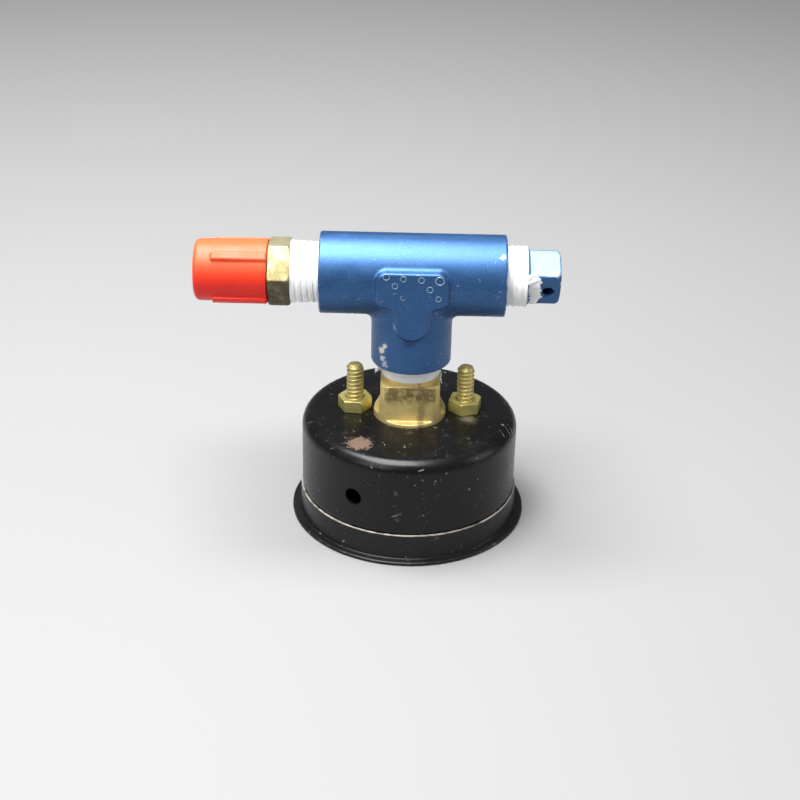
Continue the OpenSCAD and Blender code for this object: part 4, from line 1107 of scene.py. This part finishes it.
class GAUGE_OT_stem(bpy.types.Operator):
    """Makes the brass socket with its stem, flange and tube root"""
    bl_idname = "gauge.stem"
    bl_label = "Stem"

    def execute(self, context):
        scene = context.scene
        settings, line = scene.gauge_stem, scene.gauge_line
        sheet = scene.gauge_case.wall
        low_z, top_z = STEM_LOW[2], STEM_HIGH[2]
        shoulder = CASE_TOP + settings.shoulder
        boss_top = shoulder + settings.boss
        flange_top = CASE_TOP - sheet
        stud_x = STUDS_HIGH[0] - (STUDS_HIGH[1] - STUDS_LOW[1]) / 2
        tube_z = (TUBE_LOW[2] + TUBE_HIGH[2]) / 2

        def body(p):
            x, y, z = p[..., 0], p[..., 1], p[..., 2]
            radial = np.hypot(x, y)
            stem = rod(radial, z, settings.collar_r, flange_top - 0.3, shoulder, 0.35)
            side = both(settings.flats_w / 2 - np.abs(x), CASE_TOP + 0.9 - z, 2.0)
            front = both(settings.flats_d / 2 - np.abs(y), CASE_TOP + 0.6 - z, 0.35)
            stem = cut_away(cut_away(stem, side, 0.22), front, 0.22)
            boss = rod(radial, z, settings.flats_d / 2, shoulder - 1, boss_top, 0.25)
            thread = rod(radial, z, pipe_radius(line, BRANCH_Z - z), boss_top - 1, top_z, 0.5)
            block = rod(radial, z, 10.8, low_z, flange_top, 0.3)
            ears = np.minimum(rounded_box(x, y, stud_x, 6.5, 0.5),
                              np.hypot(np.abs(x) - stud_x, y - 0.7) - 4.5)
            flange = both(ears, np.maximum(flange_top - 3.1 - z, z - flange_top), 0.25)
            arm = both(rounded_box(x - 1.09, y + 11.55, 5.09, 10.55, 0.5),
                       np.maximum(low_z - z, z - flange_top + 2), 0.25)
            shape = joined(joined(stem, boss, 0.35), thread, 0.2)
            shape = np.minimum(np.minimum(shape, block), np.minimum(flange, arm))
            passage = np.maximum(radial - 2.0, tube_z - 1.8 - z)
            cross = np.maximum(np.hypot(x, z - tube_z) - 1.2, np.maximum(y, -20 - y))
            turn = np.degrees(np.arctan2(y, x))
            slot = np.maximum(rounded_box(radial - 20, z - tube_z, 0.95, 3.05, 0.9),
                              np.abs(turn + 74.5) - 7.5)
            return np.maximum(shape, -np.minimum(np.minimum(passage, cross), slot))

        low, high = STEM_LOW - 1.0, STEM_HIGH + 1.0
        finish = aged_brass("stem_brass", settings.brass, settings.stain, 0.8, 0.40, metal=0.4)
        stem = surface_net("stem_body", body, low, high, settings.step, finish)
        ride_and_replace(stem, body_of_node("socket"), ["socket"])
        return {"FINISHED"}


class GAUGE_OT_hardware(bpy.types.Operator):
    """Makes the two threaded studs and their nuts"""
    bl_idname = "gauge.hardware"
    bl_label = "Studs and nuts"

    def execute(self, context):
        scene = context.scene
        settings = scene.gauge_hardware
        radius = (STUDS_HIGH[1] - STUDS_LOW[1]) / 2
        middle = (STUDS_HIGH[1] + STUDS_LOW[1]) / 2
        reach = STUDS_HIGH[0] - radius
        brass = aged_brass("stud_brass", settings.stud, (0.14, 0.10, 0.03), dull=0.38, scale=1.6, metal=0.65)
        studs = grown("bracket_studs", "Winding", Radius=radius, End_Radius=radius,
                      Length=STUDS_HIGH[2] - STUDS_LOW[2],
                      Pitch=settings.pitch, Depth=settings.thread_depth, Flat=0.2, Chamfer=0.55, Segments=40,
                      Rows=240, Wrap=2, Count=2, Spacing=2 * reach, Place=(-reach, middle, STUDS_LOW[2]),
                      Material=brass)
        ride_and_replace(studs, body_of_node("mounting_studs"), ["mounting_studs"])
        turns = (math.degrees(settings.left_turn), math.degrees(settings.right_turn))

        def body(p):
            whole = None
            for side, turn in zip((-1, 1), turns):
                x, y, z = p[..., 0] - side * reach, p[..., 1] - middle, p[..., 2] - NUTS_LOW[2]
                thick = NUTS_HIGH[2] - NUTS_LOW[2]
                radial = np.hypot(x, y)
                corner = settings.nut_af / 2 / math.cos(math.pi / 6)
                nut = both(prism(x, y, settings.nut_af, 6, turn), np.maximum(-z, z - thick), 0.12)
                nut = both(nut, (radial - corner + 0.35 + (z - thick) * 1.6 * (z > 0)) * 0.55, 0.12)
                bore = radial - radius - 0.05 - np.clip(0.45 - thick + z, 0, 1)
                nut = np.maximum(nut, -bore)
                whole = nut if whole is None else np.minimum(whole, nut)
            return whole

        finish = aged_brass("nut_brass", settings.nut, (0.16, 0.11, 0.03), dull=0.34, scale=1.5, metal=0.65)
        nuts = surface_net("stud_nut_pair", body, NUTS_LOW - 0.6, NUTS_HIGH + 0.6, 0.16, finish)
        ride_and_replace(nuts, body_of_node("stud_nuts"), ["stud_nuts"])
        return {"FINISHED"}


class GAUGE_OT_fitting(bpy.types.Operator):
    """Makes the hexagon fitting with its flare thread"""
    bl_idname = "gauge.fitting"
    bl_label = "Flare fitting"

    def execute(self, context):
        scene = context.scene
        settings = scene.gauge_line
        face = TEE_LOW[0]
        tape = TEE_LOW[0] - FIT_TAPE_LOW[0]
        thread_from = tape + settings.hex_t + 1.2
        nose_to = face - FITTING_LOW[0]
        nose_from = nose_to - 2.65
        inside = face - FITTING_HIGH[0]

        def body(p):
            out, u, v = face - p[..., 0], p[..., 2] - RUN_Z, p[..., 1]
            radial, angle = np.hypot(u, v), np.arctan2(v, u)
            pipe = rod(radial, out, pipe_radius(settings, out), inside, tape + 0.5, 0.3)
            hexagon = both(prism(u, v, settings.hex_af, 6, math.degrees(settings.hex_turn)),
                           np.maximum(tape - out, out - tape - settings.hex_t), 0.2)
            corner = settings.hex_af / 2 / math.cos(math.pi / 6)
            beyond = np.abs(out - tape - settings.hex_t / 2) - settings.hex_t / 2
            bevel = (radial - corner + 0.45 + beyond) * 0.6
            hexagon = both(hexagon, bevel, 0.15)
            neck = rod(radial, out, settings.flare_r - 0.76, tape + 1, thread_from + 0.5, 0.2)
            thread = both(screw(radial, angle, out, settings.flare_r, settings.flare_pitch, 0.6),
                          np.maximum(thread_from - out, out - nose_from), 0.3)
            nose = both((radial - 5.0 + (out - nose_from) * 0.754) * 0.8,
                        np.maximum(nose_from - 0.5 - out, out - nose_to), 0.15)
            shape = np.minimum(np.minimum(pipe, hexagon), np.minimum(joined(neck, thread, 0.3), nose))
            return np.maximum(shape, 2.2 - radial)

        fitting = surface_net("flare_fitting_body", body, FITTING_LOW - 0.8, FITTING_HIGH + 0.8, 0.22,
                              plated(settings))
        ride_and_replace(fitting, body_of_node("flare_fitting"), ["flare_fitting"])
        return {"FINISHED"}


class GAUGE_OT_cap(bpy.types.Operator):
    """Makes the ribbed dust cap"""
    bl_idname = "gauge.cap"
    bl_label = "Dust cap"

    def execute(self, context):
        scene = context.scene
        settings = scene.gauge_line
        start, length = CAP_HIGH[0], CAP_HIGH[0] - CAP_LOW[0]
        open_r, shut_r, bore_r = 7.45, 7.2, settings.flare_r + 0.14
        rib_turn, rib_w, rib_l, end_round = -42.0, 2.1, 12.8, 1.3

        def body(p):
            out, u, v = start - p[..., 0], p[..., 2] - RUN_Z, p[..., 1]
            radial = np.hypot(u, v)
            wall = radial - open_r + (open_r - shut_r) * out / length
            shape = both(wall, out - length, end_round)
            shape = both(shape, -out, 0.35)
            for turn in np.radians(rib_turn + 90 * np.arange(4)):
                along = u * math.cos(turn) + v * math.sin(turn)
                across = -u * math.sin(turn) + v * math.cos(turn)
                rib = both(both(np.abs(across) - rib_w / 2, along - open_r - settings.cap_rib, 0.4),
                           np.maximum(-out, out - rib_l), 0.45)
                rib = np.maximum(rib, shut_r - 1 - along)
                shape = joined(shape, rib, 0.45)
            dimple = np.hypot(radial, out - length - 3.2) - 3.5
            shape = cut_away(shape, dimple, 0.2)
            cavity = both(radial - bore_r, out - length + 1.5, 0.4)
            mouth = radial - bore_r - np.clip(0.4 - out, 0, 1)
            return np.maximum(shape, -np.minimum(cavity, np.maximum(mouth, out - 1)))

        cap = surface_net("dust_cap_body", body, CAP_LOW - 0.8, CAP_HIGH + 0.8, 0.22, cap_plastic(settings))
        ride_and_replace(cap, "cap", ["dust_cap"])
        return {"FINISHED"}


class GAUGE_OT_plug(bpy.types.Operator):
    """Makes the square-head plug with its lock-wire hole"""
    bl_idname = "gauge.plug"
    bl_label = "Plug"

    def execute(self, context):
        scene = context.scene
        settings = scene.gauge_line
        face = TEE_HIGH[0]
        tape = PLUG_TAPE_HIGH[0] - face
        head_to = PLUG_HIGH[0] - face
        turn = math.radians(23.0)
        wire_at = head_to - 2.9
        into = PLUG_LOW[0] - face

        def body(p):
            out, u, v = p[..., 0] - face, -(p[..., 2] - RUN_Z), p[..., 1]
            radial = np.hypot(u, v)
            a = u * math.cos(turn) + v * math.sin(turn)
            b = -u * math.sin(turn) + v * math.cos(turn)
            pipe = rod(radial, out, pipe_radius(settings, out), into, tape + 0.3, 0.3)
            head = both(np.abs(a) - settings.square_af / 2, np.abs(b) - settings.square_af / 2, 0.25)
            head = both(head, radial - settings.square_r, 0.3)
            head = both(head, np.maximum(tape - 0.2 - out, out - head_to), 0.35)
            head = both(head, (radial - settings.square_r + 0.75 + out - head_to) * 0.7, 0.3)
            shape = joined(pipe, head, 0.5)
            wire = np.hypot(a, out - wire_at) - settings.wire_d / 2
            wire = wire - 0.55 * np.clip(np.abs(b) - settings.square_af / 2 + 0.35, 0, 0.5)
            return cut_away(shape, wire, 0.12)

        patches = [((PLUG_HIGH[0] - 1.0, -5.5, RUN_Z + 3.5), 1.3, (0.60, 0.66, 0.75), 0.45),
                   ((PLUG_HIGH[0] - 6.6, -4.9, RUN_Z - 2.6), 1.2, (0.72, 0.70, 0.62), 0.5)]
        # a painted highlight pales the top of the plug head
        finish = anodise("blue_anodise_plug", scene.gauge_tee, patches, painted_top_highlight=0.5)
        plug = surface_net("square_plug", body, PLUG_LOW - 0.8, PLUG_HIGH + 0.8, 0.2, finish)
        ride_and_replace(plug, body_of_node("pipe_plug"), ["pipe_plug"])
        return {"FINISHED"}


class GAUGE_OT_tape(bpy.types.Operator):
    """Winds the thread tape and adds its loose ends"""
    bl_idname = "gauge.tape"
    bl_label = "Thread tape"

    def execute(self, context):
        scene = context.scene
        settings = scene.gauge_line
        film = tape_film(settings)
        left, right = TEE_LOW[0], TEE_HIGH[0]
        sleeves = (
            ("fitting_wrap", "fitting_tape", (left, 0.0, RUN_Z), (0.0, -math.pi / 2, 0.0),
             left - FIT_TAPE_LOW[0], 0.48, 0.17),
            ("plug_wrap", "plug_tape", (right, 0.0, RUN_Z), (0.0, math.pi / 2, 0.0),
             PLUG_TAPE_HIGH[0] - right, 0.26, 0.17),
            ("stem_wrap", "stem_tape", (0.0, 0.0, BRANCH_Z), (math.pi, 0.0, 0.0),
             BRANCH_Z - STEM_TAPE_LOW[2], 0.3, 0.15))
        for name, node, place, turn, shown, extra, depth in sleeves:
            start = pipe_radius(settings, 0.0) + 0.09
            end = pipe_radius(settings, shown) + extra
            sleeve = grown(name, "Winding", Radius=start + 0.3, End_Radius=end, Inner_Radius=start - 0.08,
                           Length=shown, Pitch=settings.pipe_pitch, Depth=depth, Flat=0.45, Wrinkle=0.3,
                           Seed=shown, Segments=180, Rows=int(shown * 16), Wrap=3,
                           Turn=turn, Place=place, Material=film)
            ride_and_replace(sleeve, body_of_node(node), [node])
        strips = (
            ("branch_flap", 1.5, (0.0, 0.25, 1.0),
             [(-6.3, -3.6, BRANCH_Z - 0.2), (-6.9, -4.2, BRANCH_Z - 0.7),
              (-7.7, -4.9, BRANCH_Z - 0.5), (-8.4, -5.4, BRANCH_Z - 1.3)]),
            ("stem_strand", 0.28, (1.0, 0.3, 0.2),
             [(6.8, -2.6, BRANCH_Z - 1.2), (7.3, -3.4, BRANCH_Z - 2.2),
              (7.2, -3.9, BRANCH_Z - 3.4), (7.5, -4.0, BRANCH_Z - 4.8)]),
            ("run_strand", 0.3, (1.0, 0.2, 0.2),
             [(left - 0.2, -4.4, RUN_Z + 5.4), (left - 0.7, -4.2, RUN_Z + 6.4),
              (left - 0.3, -4.3, RUN_Z + 7.4), (left - 0.8, -4.0, RUN_Z + 8.3)]),
            ("plug_flap", 3.0, (1.0, 0.0, 0.12),
             [(right + 5.6, -6.0, RUN_Z + 3.1), (right + 6.4, -6.5, RUN_Z + 1.6),
              (right + 6.2, -5.9, RUN_Z - 0.6), (right + 6.9, -4.9, RUN_Z - 2.7),
              (right + 6.0, -4.1, RUN_Z - 4.9)]))
        for name, width, across, path in strips:
            strip = ribbon(name, path, width, across, film)
            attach(strip, body_of_node("pipe_tee"))
        return {"FINISHED"}


def ribbon(name, path, width, across, material):
    """A loose strip of film along a smooth path, with a curled and ragged width."""
    knots = np.array(path)
    steps, lanes, thick = 26, 7, 0.05
    t = np.linspace(0, len(knots) - 1, steps)
    spine = np.stack([np.interp(t, range(len(knots)), knots[:, a]) for a in range(3)], 1)
    for _ in range(3):
        spine[1:-1] = (spine[:-2] + 2 * spine[1:-1] + spine[2:]) / 4
    side = np.array(across) / np.linalg.norm(across)
    along = np.gradient(spine, axis=0)
    along /= np.linalg.norm(along, axis=1)[:, None]
    up = np.cross(along, side)
    points = []
    for face in (-0.5, 0.5):
        for i in range(steps):
            ragged = 0.5 + 0.09 * math.sin(2.1 * i) + 0.07 * math.sin(5.3 * i + 1)
            edge = width * ragged * (1 - 0.5 * (i / steps) ** 4)
            for k in range(lanes):
                share = 2 * k / (lanes - 1) - 1
                curl = 0.16 * width * share ** 2 + 0.05 * width * math.sin(1.3 * i + 2.5 * share)
                points.append(spine[i] + side * share * edge + up[i] * (curl + face * thick))
    sheet = steps * lanes
    faces = []
    for i in range(steps - 1):
        for k in range(lanes - 1):
            a, b = i * lanes + k, (i + 1) * lanes + k
            faces += [(a, a + 1, b + 1, b), (sheet + a, sheet + b, sheet + b + 1, sheet + a + 1)]
    rim = list(range(lanes)) + [i * lanes + lanes - 1 for i in range(1, steps)]
    rim += [(steps - 1) * lanes + k for k in range(lanes - 2, -1, -1)]
    rim += [i * lanes for i in range(steps - 2, 0, -1)]
    following = rim[1:] + rim[:1]
    faces += [(here, sheet + here, sheet + there, there) for here, there in zip(rim, following)]
    return solid(name, points, faces, material)


class GAUGE_OT_dial(bpy.types.Operator):
    """Prints the dial, shapes the lens and paints the dial face, the pointer and the spacer ring"""
    bl_idname = "gauge.dial"
    bl_label = "Dial, pointer and lens"

    def execute(self, context):
        scene = context.scene
        settings = scene.gauge_dial
        ink = plain_paint("dial_ink", tuple(settings.ink), 0.5)
        front = DIAL_LOW[2] - 0.012
        every = 6
        marks = grown("scale_marks", "Scale Marks", Radius=settings.scale_r, Length=3.2, Short=0.45,
                      Width=0.42,
                      Thickness=0.02, Count=settings.numbers * every + 1, Every=every, Start=settings.zero,
                      Span=settings.span, Height=front, Material=ink)
        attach(marks, body_of_node("dial"))
        for i in range(settings.numbers + 1):
            angle = settings.zero + settings.span * i / settings.numbers
            curve = bpy.data.curves.new("number", "FONT")
            curve.body = str(i * settings.number_step)
            curve.size = settings.number_h * MM * 1.4
            curve.extrude = 0.01 * MM
            curve.align_x = curve.align_y = "CENTER"
            source = bpy.data.objects.new("number_source", curve)
            bpy.context.collection.objects.link(source)
            shaped = source.evaluated_get(bpy.context.evaluated_depsgraph_get())
            mesh = bpy.data.meshes.new_from_object(shaped)
            bpy.data.objects.remove(source)
            place = settings.number_r * MM
            for vertex in mesh.vertices:
                x, y, z = vertex.co
                vertex.co = (place * math.cos(angle) - x, place * math.sin(angle) + y, front * MM - z)
            mesh.materials.clear()
            mesh.materials.append(ink)
            number = bpy.data.objects.new("dial_number_%d" % i, mesh)
            bpy.context.collection.objects.link(number)
            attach(number, body_of_node("dial"))
        radius, low, high = LENS_HIGH[0], LENS_LOW[2], LENS_HIGH[2]
        profile = [(0.05, low + 0.0), (radius - 1.2, low)] + arc((radius - 0.25, low + 0.25), 0.25, -90, 0, 5)
        profile += arc((radius - 0.25, high - 0.25), 0.25, 0, 90, 5) + [(0.05, high)]
        lens = lathe("lens_window", profile, window_glass(), 160)
        ride_and_replace(lens, body_of_node("lens"), ["lens"])
        face = plain_paint("dial_face", tuple(settings.face), 0.55)
        orange = plain_paint("pointer_paint", tuple(settings.pointer), 0.45)
        repaint("dial", face)
        repaint("pointer", orange)
        repaint("spacer_ring", plain_paint("spacer_paint", (0.02, 0.02, 0.021), 0.5))
        return {"FINISHED"}


class GAUGE_OT_movement(bpy.types.Operator):
    """Gives the movement and the tube their metals"""
    bl_idname = "gauge.movement"
    bl_label = "Movement"

    def execute(self, context):
        brass = aged_brass("movement_brass", (0.78, 0.60, 0.27), (0.30, 0.19, 0.08), dull=0.26)
        steel = plain_paint("bright_steel", (0.62, 0.62, 0.63), 0.26, 1.0)
        bronze = aged_brass("tube_bronze", (0.72, 0.42, 0.22), (0.25, 0.10, 0.05), dull=0.3)
        spring = plain_paint("spring_bronze", (0.70, 0.40, 0.18), 0.24, 1.0)
        groups = (
            (brass, ("dial_screws", "pointer_hub", "pinion_staff", "hairspring_collet", "spring_stud",
                     "front_plate",
                     "back_plate", "movement_pillars", "sector_gear", "link", "tube_tip", "restrictor")),
            (steel, ("pointer_stop", "movement_screws", "sector_arbor", "sector_link_pin", "tip_link_pin")),
            (bronze, ("bourdon_tube",)), (spring, ("hairspring",)))
        for finish, nodes in groups:
            for node in nodes:
                repaint(node, finish)
        return {"FINISHED"}


def repaint(node, material):
    """Puts a material on a CAD node's own mesh slots."""
    piece = frame["nodes"][node]
    for slot in piece.material_slots:
        slot.material = material
    if not piece.material_slots:
        piece.data.materials.append(material)


# ---------------------------------------------------------------- panel and registration

class GAUGE_PT_panel(bpy.types.Panel):
    """Lists the operators and their settings"""
    bl_label = "Panel gauge and tee"
    bl_idname = "GAUGE_PT_panel"
    bl_space_type = "VIEW_3D"
    bl_region_type = "UI"
    bl_category = "Gauge"

    def draw(self, context):
        for operator in OPERATORS:
            self.layout.operator(operator.bl_idname)
        for name, group in SETTINGS.items():
            box = self.layout.box()
            for key in group.__annotations__:
                box.prop(getattr(context.scene, name), key)


OPERATORS = (GAUGE_OT_stage, GAUGE_OT_case, GAUGE_OT_bezel, GAUGE_OT_tee, GAUGE_OT_stem, GAUGE_OT_hardware,
             GAUGE_OT_fitting, GAUGE_OT_cap, GAUGE_OT_plug, GAUGE_OT_tape, GAUGE_OT_dial, GAUGE_OT_movement)


def register():
    for item in (*SETTINGS.values(), *OPERATORS, GAUGE_PT_panel):
        bpy.utils.register_class(item)
    for name, group in SETTINGS.items():
        setattr(bpy.types.Scene, name, bpy.props.PointerProperty(type=group))


def unregister():
    for name in SETTINGS:
        delattr(bpy.types.Scene, name)
    for item in (GAUGE_PT_panel, *reversed(OPERATORS), *reversed(SETTINGS.values())):
        bpy.utils.unregister_class(item)


def main():
    register()
    for make in (grain_group, scratch_group, speck_group, wear_group, winding_tree, ring_marks_tree,
                 scale_marks_tree):
        make()
    for operator in OPERATORS:
        section, name = operator.bl_idname.split(".")
        getattr(getattr(bpy.ops, section), name)()


if __name__ == "__main__":
    main()
